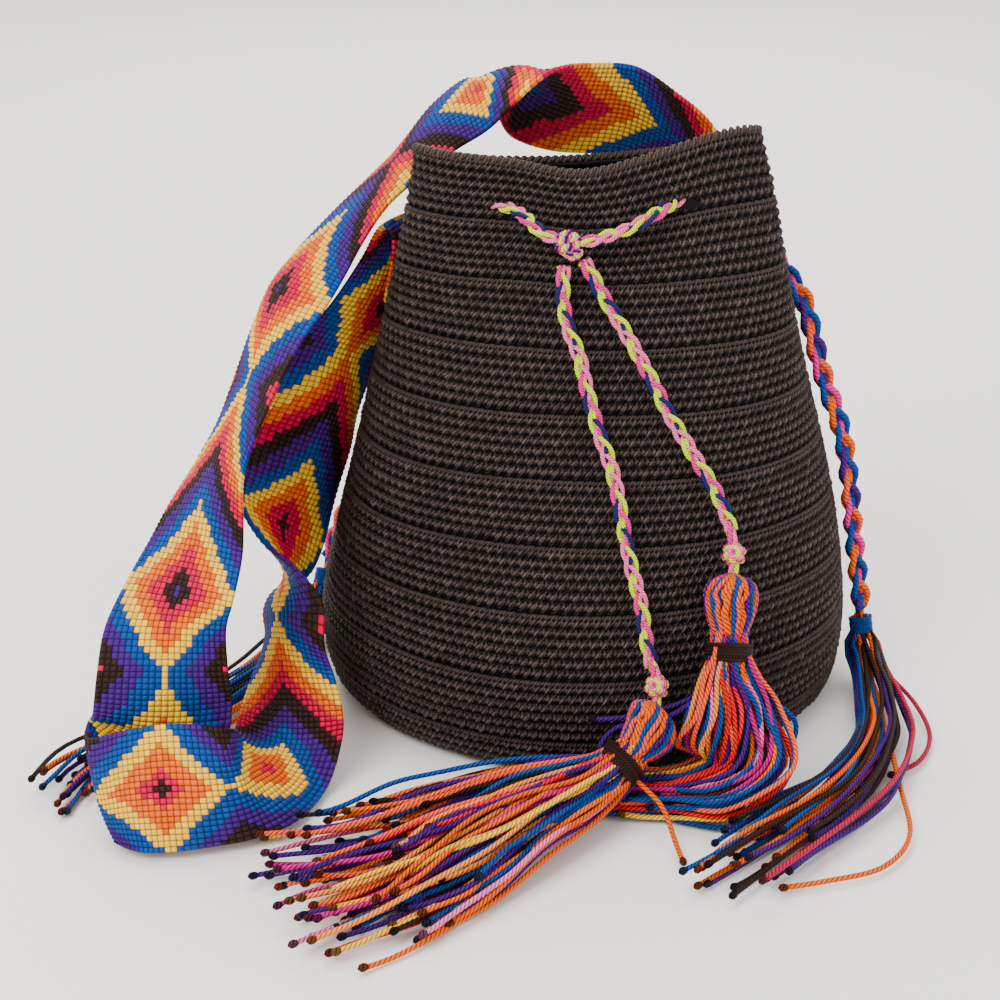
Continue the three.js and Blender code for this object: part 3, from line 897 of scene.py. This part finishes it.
class KnottedStrap:
    """The strap: a band of small square knots in a pattern of diamonds and crossings."""

    def __init__(self, size: StrapSize) -> None:
        """Keep the sizes and work out the band's middle surface."""
        self.size = size
        self.edges = [smooth_curve(STRAP_STATIONS[:, k], 12) for k in range(3)]
        self.stations = np.linspace(0, len(STRAP_STATIONS) - 1, len(self.edges[1]))
        self.lengths = arc_lengths(self.edges[1])
        self.random = np.random.default_rng(5)

    def build(self) -> bpy.types.Object:
        """Build the strap.

        Returns:
            The strap.
        """
        fine_rows = np.linspace(0.0, self.lengths[-1], self.size.rows * 2 + 1)
        fine_columns = np.linspace(-1.0, 1.0, self.size.columns * 3 + 1)
        surface = self._surface(fine_rows, fine_columns)
        normal = unit(np.cross(np.gradient(surface, axis=0), np.gradient(surface, axis=1)))
        u = np.arange(len(fine_columns)) / 3
        v = np.arange(len(fine_rows)) / 2
        dome_across = np.abs(np.sin(math.pi * u)) ** 0.6
        dome_along = np.abs(np.sin(math.pi * v)) ** 0.6
        dome = dome_across[None, :] * (0.35 + 0.65 * dome_along[:, None])
        lift = self.size.thickness / 2 - 0.3 + self.size.relief * dome
        lift[:, [0, -1]] = 0.4
        lift[[0, -1], :] = 0.4
        upper = surface + normal * lift[..., None]
        lower = surface - normal * lift[..., None]
        colours = self._colours()
        builder = MeshBuilder()
        builder.grid(upper * MM, colours, around=False, uv=(v, u), flip=True)
        builder.grid(lower * MM, colours, around=False, uv=(v, u))
        self._edge(builder, upper, lower, colours)
        made = builder.make("strap_band", KNOTTED)
        place(made, "strap_knots", "strap")
        return made

    def _surface(self, along: Points, across: Points) -> Points:
        """Middle surface at distances along the strap and at places across it."""
        places = np.interp(along, self.lengths, self.stations)
        front, middle, back = (
            np.stack([np.interp(places, self.stations, edge[:, k]) for k in range(3)], axis=1)
            for edge in self.edges
        )
        t = across[None, :, None]
        bend = middle[:, None] * (1 - t * t) + front[:, None] * (t * t - t) / 2
        return bend + back[:, None] * (t * t + t) / 2

    def _colours(self) -> Points:
        """Colour of each quad, the same over a whole knot."""
        along = (np.arange(self.size.rows) + 0.5) / self.size.rows * self.lengths[-1]
        places = np.interp(along, self.lengths, self.stations)
        rings = np.interp(places, [m.station for m in PATTERN], [m.rings for m in PATTERN])
        across = (np.arange(self.size.columns) + 0.5) / self.size.columns * 2 - 1
        numbers = np.array([[pattern_colour(r, a) for a in across] for r in rings])
        colours = np.array([yarn.value for yarn in CYCLE])[numbers]
        vary = 1 + self.random.normal(0.0, 0.07, numbers.shape)
        return np.repeat(np.repeat(colours * vary[..., None], 2, axis=0), 3, axis=1)

    def _edge(self, builder: MeshBuilder, upper: Points, lower: Points, colours: Points) -> None:
        """Close the band's four edges."""
        for column, flip in ((0, True), (-1, False)):
            strip = np.stack([upper[:, column], lower[:, column]], axis=1) * MM
            uv = (np.arange(len(upper)) / 2, np.array([0.5, 0.5]))
            builder.grid(strip, colours[:, column][:, None], around=False, uv=uv, flip=not flip)
        for row, flip in ((0, False), (-1, True)):
            strip = np.stack([upper[row], lower[row]], axis=1) * MM
            uv = (np.full(upper.shape[1], 0.5), np.array([0.5, 0.5]))
            builder.grid(strip, colours[row][:, None], around=False, uv=uv, flip=not flip)


@dataclass(frozen=True)
class BraidSize:
    """Sizes of a flat braid of three bundles, in millimetres."""

    diameter: float
    sway: float
    lift: float
    yarn: float
    period: float


STRING_SIZE = BraidSize(5.6, 1.85, 0.9, 1.1, 25.0)
END_SIZE = BraidSize(9.0, 3.0, 1.6, 1.7, 38.0)
STRING_YARNS = ((Yarn.HOT_PINK, Yarn.PALE_PINK), (Yarn.LIME, Yarn.LIME), (Yarn.PALE_PINK, Yarn.NAVY))
END_YARNS = ((Yarn.ORANGE, Yarn.SALMON), (Yarn.BLUE, Yarn.PURPLE), (Yarn.HOT_PINK, Yarn.BLUE))


class Braid:
    """A flat braid of three bundles of two yarns along a path."""

    def __init__(self, size: BraidSize, yarns: tuple[tuple[Yarn, Yarn], ...]) -> None:
        """Keep the sizes and the colours."""
        self.size = size
        self.yarns = yarns

    def lay(self, builder: MeshBuilder, path: Points, facing: Points) -> None:
        """Add the braid's yarns to a mesh.

        Args:
            builder: The mesh to add to.
            path: Centreline, in millimetres.
            facing: Direction that the flat side keeps to.
        """
        first, second = side_frames(path, facing)
        phase = arc_lengths(path) / self.size.period * 2 * math.pi
        for k, pair in enumerate(self.yarns):
            turn = phase + k * 2 * math.pi / 3
            side = (self.size.sway * np.sin(turn))[:, None] * second
            middle = path + side + (self.size.lift * np.sin(2 * turn))[:, None] * first
            for m, yarn in enumerate(pair):
                roll = phase * 0.5 + m * math.pi + k
                ring = np.cos(roll)[:, None] * second + np.sin(roll)[:, None] * first
                line = middle + ring * self.size.yarn * 0.85
                builder.tube(line * MM, self.size.yarn * MM, yarn.value, 6, 4 * self.size.yarn * MM, facing)


def braid_path(points: Points, step: float) -> Points:
    """A smooth path with evenly spaced points about a step apart, in millimetres."""
    curve = smooth_curve(np.asarray(points, float), 16)
    return spaced(curve, max(4, round(arc_lengths(curve)[-1] / step)))


@dataclass(frozen=True)
class FreeCord:
    """One free cord: its braid, and the yarn that runs on through the pieces on it.

    Attributes:
        name: Name of its piece.
        node: The CAD node it stands for.
        slot: Material slot.
        points: Where the braid goes, in millimetres.
        run_on: Where its core goes on, through the pieces on it.
        facing: Direction that the braid's flat side keeps to.
    """

    name: str
    node: str
    slot: str
    points: tuple[tuple[float, float, float], ...]
    run_on: tuple[tuple[float, float, float], ...]
    facing: tuple[float, float, float]
    lay: str

    def build(self, size: BraidSize, yarns: tuple[tuple[Yarn, Yarn], ...]) -> tuple[bpy.types.Object, Points]:
        """Build the cord's mesh.

        Args:
            size: The braid's sizes.
            yarns: The braid's colours.

        Returns:
            The piece and its whole centreline, in metres.
        """
        builder = MeshBuilder()
        line = braid_path(self.points, size.period / 12)
        Braid(size, yarns).lay(builder, line, np.array(self.facing))
        core = braid_path([tuple(line[-3]), *self.run_on], 4.0)
        first, second = side_frames(core)
        turn = arc_lengths(core) / 40 * 2 * math.pi
        for k, pair in enumerate(yarns):
            angle = (turn + k * 2 * math.pi / 3)[:, None]
            strand_line = core + (np.cos(angle) * first + np.sin(angle) * second) * 1.35
            strand_line[:, 2] = np.maximum(strand_line[:, 2], 1.8)
            builder.tube(strand_line * MM, 1.2 * MM, pair[0].value, 6)
        made = builder.make(self.name, PLAIN)
        place(made, self.slot, self.node)
        whole = np.vstack([line[:-3], core]) * MM
        return made, whole

    def declare(
        self, made: bpy.types.Object, whole: Points, size: BraidSize, pieces: list[bpy.types.Object]
    ) -> None:
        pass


STRING_LOOP = (
    (-14, -55, 231.8), (-21, -51.5, 234), (-25, -47.5, 236.8), (-29, -41, 239), (-35, -30, 240.5),
    (-49, -18, 241), (-59, -9, 242), (-66, 0, 242), (-59, 9, 242), (-50, 17, 242), (-45, 29, 242),
    (-38, 37.5, 242), (-28, 42, 242),
    (-20, 41, 242), (-14, 36, 242), (-7, 30, 242), (1, 30, 242), (8, 36, 242), (14, 41.5, 242), (24, 43, 243),
    (34, 40, 243), (44, 31, 243), (52, 17, 243), (61, 9, 243), (68, 0, 243), (61, -9, 243), (52, -18, 243),
    (40, -27, 243), (33.5, -38.5, 242.5), (27, -45, 240), (18, -48.5, 236), (9, -51.5, 233.5),
    (1.5, -53.5, 231.5),
    (-6, -55, 231),
)
LEFT_TAIL = FreeCord(
    "left_tail_braid", "left_tail", "string_braid",
    (
        (-12, -56, 221), (-12, -58, 213), (-12, -60, 205), (-9, -66, 193), (-5, -70, 184), (-1, -77, 168),
        (4, -84, 152), (8, -89, 142), (11, -93, 132), (13, -98, 122), (15, -102, 112), (18, -108, 98),
        (22, -114, 84), (24, -119, 71), (27, -125, 58),
    ),
    ((28.8, -130, 50.8), (25, -141, 33), (12, -151, 24), (-10, -166, 20), (-32, -177, 18), (-60, -192, 12)),
    (0.0, -0.9, 0.3), "hanging",
)
RIGHT_TAIL = FreeCord(
    "right_tail_braid", "right_tail", "string_braid",
    (
        (-3.5, -56, 223.5), (0, -56, 218), (5, -59, 209), (13, -64, 197), (21, -69, 184), (28, -74, 172),
        (35, -78, 159), (42, -81, 148), (49, -84, 137), (55, -87, 128), (60, -90, 118), (63, -94, 110),
    ),
    ((64, -99.5, 101), (62, -112, 82), (61, -121, 63), (62, -134, 42)),
    (0.2, -0.9, 0.3), "hanging",
)
RIGHT_END = FreeCord(
    "right_end_braid", "right_braid", "tassel_cords",
    (
        (94, 25, 205), (101, 19, 196), (107, 13, 187), (110, 9, 178), (114, 5, 163),
        (119, 1, 147), (127, -4, 126),
        (132, -9, 101), (136, -13, 71), (140, -17, 45), (141, -19, 36),
    ),
    ((141.5, -21, 28), (142, -23, 20), (143.5, -36, 10), (142, -66, 6), (138, -97, 6), (118, -142, 6)),
    (0.6, -0.75, 0.1), "hanging",
)
LEFT_END = FreeCord(
    "left_end_braid", "left_braid", "tassel_cords",
    (
        (-66, 58, 180), (-70, 63, 162), (-76, 66, 148), (-85, 66, 132), (-101, 65, 103), (-117, 56, 72),
        (-128, 46, 47), (-131, 42, 37),
    ),
    ((-133.5, 38.5, 27), (-136, 32, 17), (-141, 20, 8), (-150, -8, 5), (-163, -40, 5)),
    (-0.7, 0.6, 0.2), "hanging",
)


@dataclass(frozen=True)
class Section:
    """One place along a skirt or fringe: its middle, half width and half thickness, in millimetres."""

    middle: tuple[float, float, float]
    wide: float
    thick: float


SKIRT_YARNS = (
    Yarn.SALMON, Yarn.ORANGE, Yarn.BLUE, Yarn.PURPLE, Yarn.MAGENTA, Yarn.YELLOW, Yarn.BROWN, Yarn.SALMON,
    Yarn.BLUE, Yarn.PURPLE, Yarn.PALE_PINK, Yarn.RED, Yarn.PEACH, Yarn.BLUE, Yarn.ORANGE, Yarn.PURPLE,
)
DARK_YARNS = (
    Yarn.BROWN, Yarn.PURPLE, Yarn.BLUE, Yarn.BROWN, Yarn.ORANGE, Yarn.PURPLE, Yarn.BLUE,
    Yarn.ORANGE, Yarn.PINK,
)


class Fringe:
    """Loose twisted cords that run together through some sections."""

    def __init__(
        self, sections: tuple[Section, ...], yarns: tuple[Yarn, ...], seed: int, radius: float = 1.15
    ) -> None:
        """Keep the route, the colours and the cords' radius."""
        self.sections = sections
        self.yarns = yarns
        self.radius = radius
        self.random = np.random.default_rng(seed)

    def cords(self, builder: MeshBuilder, count: int, shortest: float) -> None:
        """Add the cords to a mesh.

        Args:
            builder: The mesh to add to.
            count: How many cords.
            shortest: The least share of the route that a cord covers.
        """
        middles = np.array([s.middle for s in self.sections], float)
        ways = tangents(middles)
        across = np.cross(np.array([0.0, 0.0, 1.0]), ways)
        across[np.linalg.norm(across, axis=1) < 0.2] = np.array([1.0, 0.0, 0.0])
        across = unit(across)
        thick = unit(np.cross(ways, across))
        sizes = np.array([[s.wide, s.thick] for s in self.sections])
        for k in range(count):
            angle = self.random.uniform(0, 2 * math.pi)
            spread = math.sqrt(self.random.uniform(0, 1))
            side, up = spread * math.cos(angle), spread * math.sin(angle)
            drift = np.cumsum(self.random.normal(0.0, 0.13, len(middles)))
            rise = np.cumsum(self.random.normal(0.0, 0.16, len(middles)))
            drift[0] = rise[0] = 0.0
            sides = np.clip(side + drift, -1.08, 1.08) * sizes[:, 0]
            ups = np.clip(up + rise, -1.0, 1.0) * sizes[:, 1]
            points = middles + across * sides[:, None] + thick * ups[:, None]
            points[:, 2] = np.maximum(points[:, 2], self.radius + 0.6)
            curve = smooth_curve(points, 10)
            share = self.random.uniform(shortest, 1.0)
            path = spaced(curve[: max(8, round(len(curve) * share))], 30)
            path = self._loosen(path)
            self.cord(builder, path, self.yarns[k % len(self.yarns)])

    def _loosen(self, path: Points) -> Points:
        """Give a cord small bends, more towards its end."""
        t = np.linspace(0.0, 1.0, len(path))
        for axis in (0, 1, 2):
            waves = self.random.uniform(1.0, 3.2)
            start = self.random.uniform(0, 2 * math.pi)
            size = (1.3 if axis < 2 else 0.6) * t**1.2
            path[:, axis] += size * np.sin(waves * 2 * math.pi * t + start)
        path[:, 2] = np.maximum(path[:, 2], self.radius + 0.5)
        return path

    def cord(self, builder: MeshBuilder, path: Points, yarn: Yarn, end_knot: bool = True) -> None:
        """Add one twisted cord with a knotted end.

        Args:
            builder: The mesh to add to.
            path: Its centreline, in millimetres.
            yarn: Its colour.
            end_knot: Whether its last end has a knot.
        """
        vary = 1 + self.random.normal(0.0, 0.10)
        tint = np.array(yarn.value) * vary
        builder.tube(path * MM, self.radius * MM, tint, 6, 7 * MM)
        if end_knot:
            way = unit(path[-1] - path[-3])
            dark = tint * 0.10
            centre = path[-1] + way * 1.0
            centre[2] = max(centre[2], 2.6)
            builder.knot(centre * MM, 1.75 * MM, dark, 1.35, way)


@dataclass(frozen=True)
class TasselPlan:
    """Where a tassel's parts go, in millimetres, and which CAD nodes they stand for."""

    side: str
    neck: tuple[float, float, float]
    head: tuple[float, float, float]
    binding: tuple[float, float, float]
    sections: tuple[Section, ...]
    cords: int
    seed: int


LEFT_TASSEL = TasselPlan(
    "left", (28.8, -130, 50.8), (25, -141, 33), (12, -151, 24),
    (
        Section((18, -147, 28), 8, 8), Section((12, -151, 24), 8, 8), Section((3, -158, 22), 11, 9),
        Section((-10, -166, 21), 16, 9), Section((-32, -177, 19), 24, 9), Section((-60, -192, 13), 33, 10),
        Section((-92, -209, 9), 42, 8), Section((-130, -225, 8), 48, 6),
    ),
    150, 21,
)
RIGHT_TASSEL = TasselPlan(
    "right", (64, -99.5, 101), (62, -112, 82), (61, -121, 63),
    (
        Section((61.5, -116, 72), 8, 8), Section((61, -121, 63), 8, 8), Section((60.5, -128, 54), 12, 7),
        Section((62, -135, 41), 19, 8), Section((64, -143, 24), 24, 8), Section((56, -149, 11), 19, 8),
        Section((32, -147, 7), 12, 5), Section((2, -144, 6), 12, 5), Section((-28, -142, 5.5), 12, 4),
    ),
    112, 8,
)


class Tassel:
    """One tassel: neck knot, looped head, wound binding and skirt."""

    def __init__(self, plan: TasselPlan) -> None:
        """Keep the plan."""
        self.plan = plan
        self.neck = np.array(plan.neck, float)
        self.head = np.array(plan.head, float)
        self.binding = np.array(plan.binding, float)
        self.random = np.random.default_rng(plan.seed)

    def build(self) -> list[bpy.types.Object]:
        """Build the tassel.

        Returns:
            Its pieces.
        """
        made = [self._neck(), self._head(), self._binding(), self._skirt()]
        slots = ("string_pink", "tassel_cords", "binding_brown", "tassel_cords")
        for piece, slot, part in zip(made, slots, ("neck", "head", "binding", "skirt")):
            place(piece, slot, f"{self.plan.side}_tassel_{part}")
        return made

    def _neck(self) -> bpy.types.Object:
        """Wind the drawstring's yarns into the neck knot."""
        builder = MeshBuilder()
        yarns = (Yarn.HOT_PINK, Yarn.LIME, Yarn.PALE_PINK)
        wind_knot(builder, self.neck, 5.4, unit(self.head - self.neck), 1.15, yarns)
        return builder.make(f"{self.plan.side}_neck_knot", PLAIN)

    def _head(self) -> bpy.types.Object:
        """Loop the cords from the neck over the head and down to the binding."""
        builder = MeshBuilder()
        top = self.head + unit(self.neck - self.head) * 13.0
        middle_way = unit(self.binding - self.neck)
        first, second = side_frames(np.array([top, self.head, self.binding]))
        yarns = (
            Yarn.ORANGE, Yarn.SALMON, Yarn.BLUE, Yarn.ORANGE, Yarn.HOT_PINK, Yarn.PURPLE, Yarn.SALMON,
            Yarn.BLUE, Yarn.MAGENTA, Yarn.ORANGE, Yarn.BLUE, Yarn.PURPLE,
        )
        for layer, (radius, count, turn) in enumerate(((11.0, 28, 0.35), (9.4, 20, -0.3))):
            for k in range(count):
                angle = 2 * math.pi * k / count + layer * 0.2
                points = []
                for t in np.linspace(0.0, 1.0, 9):
                    way = smooth_curve(np.array([top, self.head, self.binding]), 20)
                    centre = way[round(t * (len(way) - 1))]
                    swell = 2.2 + (radius - 2.2) * math.sin(math.pi * min(1.0, t * 1.05) ** 0.75) ** 0.65
                    swell = max(swell, 6.5 * t)
                    a = angle + turn * math.sin(math.pi * t) + 0.08 * self.random.normal()
                    points.append(centre + (math.cos(a) * first[1] + math.sin(a) * second[1]) * swell)
                path = spaced(smooth_curve(np.array(points), 6), 26)
                tint = np.array(yarns[k % len(yarns)].value) * (1 + 0.08 * self.random.normal())
                builder.tube(path * MM, 1.3 * MM, tint, 6, 7 * MM)
        builder.knot((top + middle_way * 6) * MM, 6.0 * MM, Yarn.BROWN.value, 1.2, middle_way)
        return builder.make(f"{self.plan.side}_head_loops", TWISTED)

    def _binding(self) -> bpy.types.Object:
        """Wind the dark yarn round under the head."""
        builder = MeshBuilder()
        axis = unit(self.binding - self.head)
        wind(builder, self.binding, axis, 9.8, 7.5, 6, 1.0, Yarn.BROWN)
        return builder.make(f"{self.plan.side}_binding_turns", TWISTED)

    def _skirt(self) -> bpy.types.Object:
        """Let the loose cords fall from the binding."""
        builder = MeshBuilder()
        fringe = Fringe(self.plan.sections, SKIRT_YARNS, self.plan.seed)
        fringe.cords(builder, self.plan.cords, 0.72)
        for path, yarn in STRAY_CORDS.get(self.plan.side, ()):
            fringe.cord(builder, braid_path(path, 3.0), yarn)
        return builder.make(f"{self.plan.side}_skirt_cords", TWISTED)


# Single cords that stray from a skirt: where each goes, in millimetres, and its colour
STRAY_CORDS: dict[str, tuple[tuple[tuple[tuple[float, float, float], ...], Yarn], ...]] = {
    "right": (
        (((60, -124, 58), (50, -131, 50), (36, -133, 43), (16, -134, 38), (2, -133, 36)), Yarn.PURPLE),
        (((60, -124, 58), (46, -134, 47), (30, -137, 38), (12, -136, 34), (4, -139, 26),
          (8, -142, 20)), Yarn.PURPLE),
        (((62, -124, 58), (82, -128, 42), (92, -126, 30), (88, -132, 20), (74, -142, 12)), Yarn.BLUE),
        (((63, -124, 58), (74, -131, 40), (79, -136, 24), (76, -142, 12)), Yarn.BLUE),
    ),
    "left": (
        (((12, -153, 24), (22, -158, 17), (30, -166, 11), (34, -180, 4), (36, -192, 2.5)), Yarn.ORANGE),
        (((12, -151, 26), (-8, -152, 26), (-34, -156, 18), (-62, -160, 8), (-92, -162, 3)), Yarn.ORANGE),
        (((12, -151, 26), (-6, -155, 24), (-30, -160, 14), (-60, -166, 6), (-84, -172, 3)), Yarn.SALMON),
    ),
}


def wind(
    builder: MeshBuilder,
    centre: Points,
    axis: Points,
    radius: float,
    height: float,
    turns: int,
    yarn: float,
    colour: Yarn,
) -> None:
    """Wind a yarn round an axis.

    Args:
        builder: The mesh to add to.
        centre: Middle of the winding, in millimetres.
        axis: Direction that it goes round.
        radius: Radius of its centreline, in millimetres.
        height: Its height, in millimetres.
        turns: How many times it goes round.
        yarn: The yarn's radius, in millimetres.
        colour: The yarn's colour.
    """
    t = np.linspace(0.0, 1.0, turns * 22)
    angle = t * turns * 2 * math.pi
    first, second = side_frames(np.array([centre - axis, centre, centre + axis]))
    ring = np.cos(angle)[:, None] * first[1] + np.sin(angle)[:, None] * second[1]
    wobble = 1 + 0.03 * np.sin(angle * 0.37 + 1.0)
    path = centre + axis * ((t - 0.5) * height)[:, None] + ring * (radius * wobble)[:, None]
    builder.tube(path * MM, yarn * MM, colour.value, 6, 4 * MM)


def wind_knot(
    builder: MeshBuilder, centre: Points, radius: float, axis: Points, yarn: float, colours: tuple[Yarn, ...]
) -> None:
    """Add a round knot of crossing yarn turns.

    Args:
        builder: The mesh to add to.
        centre: Its middle, in millimetres.
        radius: Its radius, in millimetres.
        axis: The cord's direction through it.
        yarn: The yarn's radius, in millimetres.
        colours: A colour for each turn.
    """
    first, second = side_frames(np.array([centre - axis, centre, centre + axis]))
    a = np.linspace(0.0, 2 * math.pi, 44)
    for tilt in (0.45, -0.6, 1.35):
        side = math.cos(tilt) * second[1] + math.sin(tilt) * axis
        across = np.cross(first[1], side)
        around = np.cos(a)[:, None] * first[1] + np.sin(a)[:, None] * side
        for k, colour in enumerate(colours):
            turn = (5 * a + 2 * math.pi * k / len(colours))[:, None]
            path = centre + around * (radius * 0.66 + yarn * np.cos(turn)) + across * yarn * np.sin(turn)
            builder.tube(path * MM, yarn * MM, colour.value, 6, 4 * MM)
    builder.knot(centre * MM, radius * 0.6 * MM, colours[0].value)


class Drawstring:
    """The drawstring's loop round the mouth and its knot."""

    def build(self) -> list[bpy.types.Object]:
        """Build the loop and the knot.

        Returns:
            Both pieces.
        """
        builder = MeshBuilder()
        path = braid_path(STRING_LOOP, STRING_SIZE.period / 12)
        Braid(STRING_SIZE, STRING_YARNS).lay(builder, path, np.array([0.03, -0.3, 0.9]))
        loop = place(builder.make("string_loop", PLAIN), "string_braid", "drawstring_loop")
        builder = MeshBuilder()
        colours = (Yarn.HOT_PINK, Yarn.LIME, Yarn.PALE_PINK, Yarn.NAVY)
        centre = np.array([-10.0, -55.5, 231.0])
        wind_knot(builder, centre, 5.8, unit(np.array([0.25, -0.2, -1.0])), 1.15, colours)
        below = centre + np.array([2.0, -1.0, -3.0])
        wind_knot(builder, below, 4.4, unit(np.array([1.0, 0.1, 0.3])), 1.0, colours)
        knot = place(builder.make("string_knot", PLAIN), "string_pink", "drawstring_knot")
        return [loop, knot]


@dataclass(frozen=True)
class EndPlan:
    """Where a finished strap end's binding and fringe go, in millimetres."""

    side: str
    binding: tuple[float, float, float]
    axis: tuple[float, float, float]
    sections: tuple[Section, ...]
    cords: int
    seed: int


RIGHT_FRINGE = EndPlan(
    "right", (141.5, -21, 28), (1, -2, -8),
    (
        Section((141.5, -20, 33), 3, 3), Section((141.5, -22, 25), 4, 4), Section((142, -24, 18), 8, 6),
        Section((143.5, -36, 11), 8, 7), Section((142, -66, 8), 11, 6), Section((137, -97, 7), 14, 6),
        Section((116, -139, 7), 17, 6), Section((78, -181, 7), 17, 6), Section((40, -217, 6), 18, 5),
    ),
    38, 31,
)
LEFT_FRINGE = EndPlan(
    "left", (-133.5, 38.5, 27), (-2, -3, -9),
    (
        Section((-132.5, 40, 31), 3, 3), Section((-134, 36, 23), 4, 4), Section((-136, 31, 16), 7, 5),
        Section((-141, 20, 9), 9, 6), Section((-150, -8, 7), 12, 5), Section((-163, -40, 6.5), 13, 5),
        Section((-192, -82, 6), 14, 4.5), Section((-224, -118, 6), 15, 4.5),
        Section((-234, -152, 5.5), 16, 4),
    ),
    26, 47,
)


class StrapEnd:
    """The binding and fringe that finish one end of the strap."""

    def __init__(self, plan: EndPlan) -> None:
        """Keep the plan."""
        self.plan = plan

    def build(self) -> list[bpy.types.Object]:
        """Build the binding and the fringe.

        Returns:
            Both pieces.
        """
        builder = MeshBuilder()
        centre, axis = np.array(self.plan.binding, float), unit(np.array(self.plan.axis, float))
        wind(builder, centre, axis, 5.0, 8.0, 6, 0.9, Yarn.BLUE)
        binding = place(
            builder.make(f"{self.plan.side}_end_binding", TWISTED),
            "binding_blue",
            f"{self.plan.side}_braid_binding",
        )
        builder = MeshBuilder()
        fringe = Fringe(self.plan.sections, DARK_YARNS, self.plan.seed)
        fringe.cords(builder, self.plan.cords, 0.82)
        for path, yarn in LOOPED_CORDS.get(self.plan.side, ()):
            fringe.cord(builder, braid_path(path, 3.0), yarn)
        made = builder.make(f"{self.plan.side}_end_fringe", TWISTED)
        cords = place(made, "tassel_cords", f"{self.plan.side}_fringe")
        return [binding, cords]


# Cords that loop away from a strap end's fringe
LOOPED_CORDS: dict[str, tuple[tuple[tuple[tuple[float, float, float], ...], Yarn], ...]] = {
    "right": (
        (((142, -24, 20), (152, -34, 9), (162, -58, 4), (163, -88, 3), (153, -112, 3),
          (138, -124, 3)), Yarn.PINK),
        (((141, -24, 20), (144, -40, 10), (141, -90, 8), (138, -140, 5), (134, -176, 4), (118, -198, 3),
          (92, -208, 3), (76, -212, 3)), Yarn.ORANGE),
    ),
}


class Studio:
    """Camera, pale floor and soft lights."""

    def build(self) -> None:
        """Build the camera, the floor and the lights."""
        scene = bpy.context.scene
        camera = bpy.data.objects.new("camera", bpy.data.cameras.new("camera"))
        camera.location = (-0.04, -0.80, 0.41)
        camera.rotation_euler = (math.radians(68.0), 0.0, 0.0)
        camera.data.lens = 61.92
        camera.data.sensor_width = 36.0
        scene.collection.objects.link(camera)
        scene.camera = camera
        world = bpy.data.worlds.new("studio")
        world.use_nodes = True
        background = world.node_tree.nodes["Background"]
        background.inputs["Color"].default_value = (0.93, 0.92, 0.90, 1.0)
        background.inputs["Strength"].default_value = 1.12
        scene.world = world
        bpy.ops.mesh.primitive_plane_add(size=12.0, location=(0.0, 0.0, -0.0005))
        floor = bpy.context.active_object
        floor.name = "floor"
        paper = bpy.data.materials.new("paper")
        paper.use_nodes = True
        shader = paper.node_tree.nodes["Principled BSDF"]
        shader.inputs["Base Color"].default_value = (0.95, 0.925, 0.885, 1.0)
        shader.inputs["Roughness"].default_value = 0.85
        floor.data.materials.append(paper)
        lights = [
            self._area("key", (-0.8, -0.9, 1.3), (0.0, -0.05, 0.12), 0.9, 24.0),
            self._area("fill", (1.1, -0.8, 0.9), (0.0, 0.0, 0.12), 1.0, 7.0),
            self._area("back", (0.0, 2.0, 2.6), (0.0, 1.0, 0.0), 3.0, 130.0),
        ]

    def _area(
        self,
        name: str,
        place_at: tuple[float, float, float],
        aim: tuple[float, float, float],
        size: float,
        power: float,
    ) -> bpy.types.Object:
        """Make one soft square light that points at a place."""
        lamp = bpy.data.lights.new(name, "AREA")
        lamp.size = size
        lamp.energy = power
        made = bpy.data.objects.new(name, lamp)
        made.location = place_at
        way = np.array(aim) - np.array(place_at)
        flat = math.hypot(way[0], way[1])
        made.rotation_euler = (math.atan2(flat, -way[2]), 0.0, math.atan2(way[1], way[0]) - math.pi / 2)
        bpy.context.scene.collection.objects.link(made)
        return made


def main() -> None:
    """Build the whole scene in order."""
    bpy.ops.object.select_all(action="DESELECT")
    Studio().build()
    cords = []
    for plan, size, yarns in (
        (LEFT_TAIL, STRING_SIZE, STRING_YARNS),
        (RIGHT_TAIL, STRING_SIZE, STRING_YARNS),
        (LEFT_END, END_SIZE, END_YARNS),
        (RIGHT_END, END_SIZE, END_YARNS),
    ):
        made, whole = plan.build(size, yarns)
        cords.append((plan, made, whole, size))
    Drawstring().build()
    CrochetBag(BagSize()).build()
    KnottedStrap(StrapSize()).build()
    groups = [Tassel(LEFT_TASSEL).build(), Tassel(RIGHT_TASSEL).build()]
    groups += [StrapEnd(LEFT_FRINGE).build(), StrapEnd(RIGHT_FRINGE).build()]
    for (plan, made, whole, size), pieces in zip(cords, groups):
        plan.declare(made, whole, size, pieces)
    LOG.info("done")


if __name__ == "__main__":
    main()
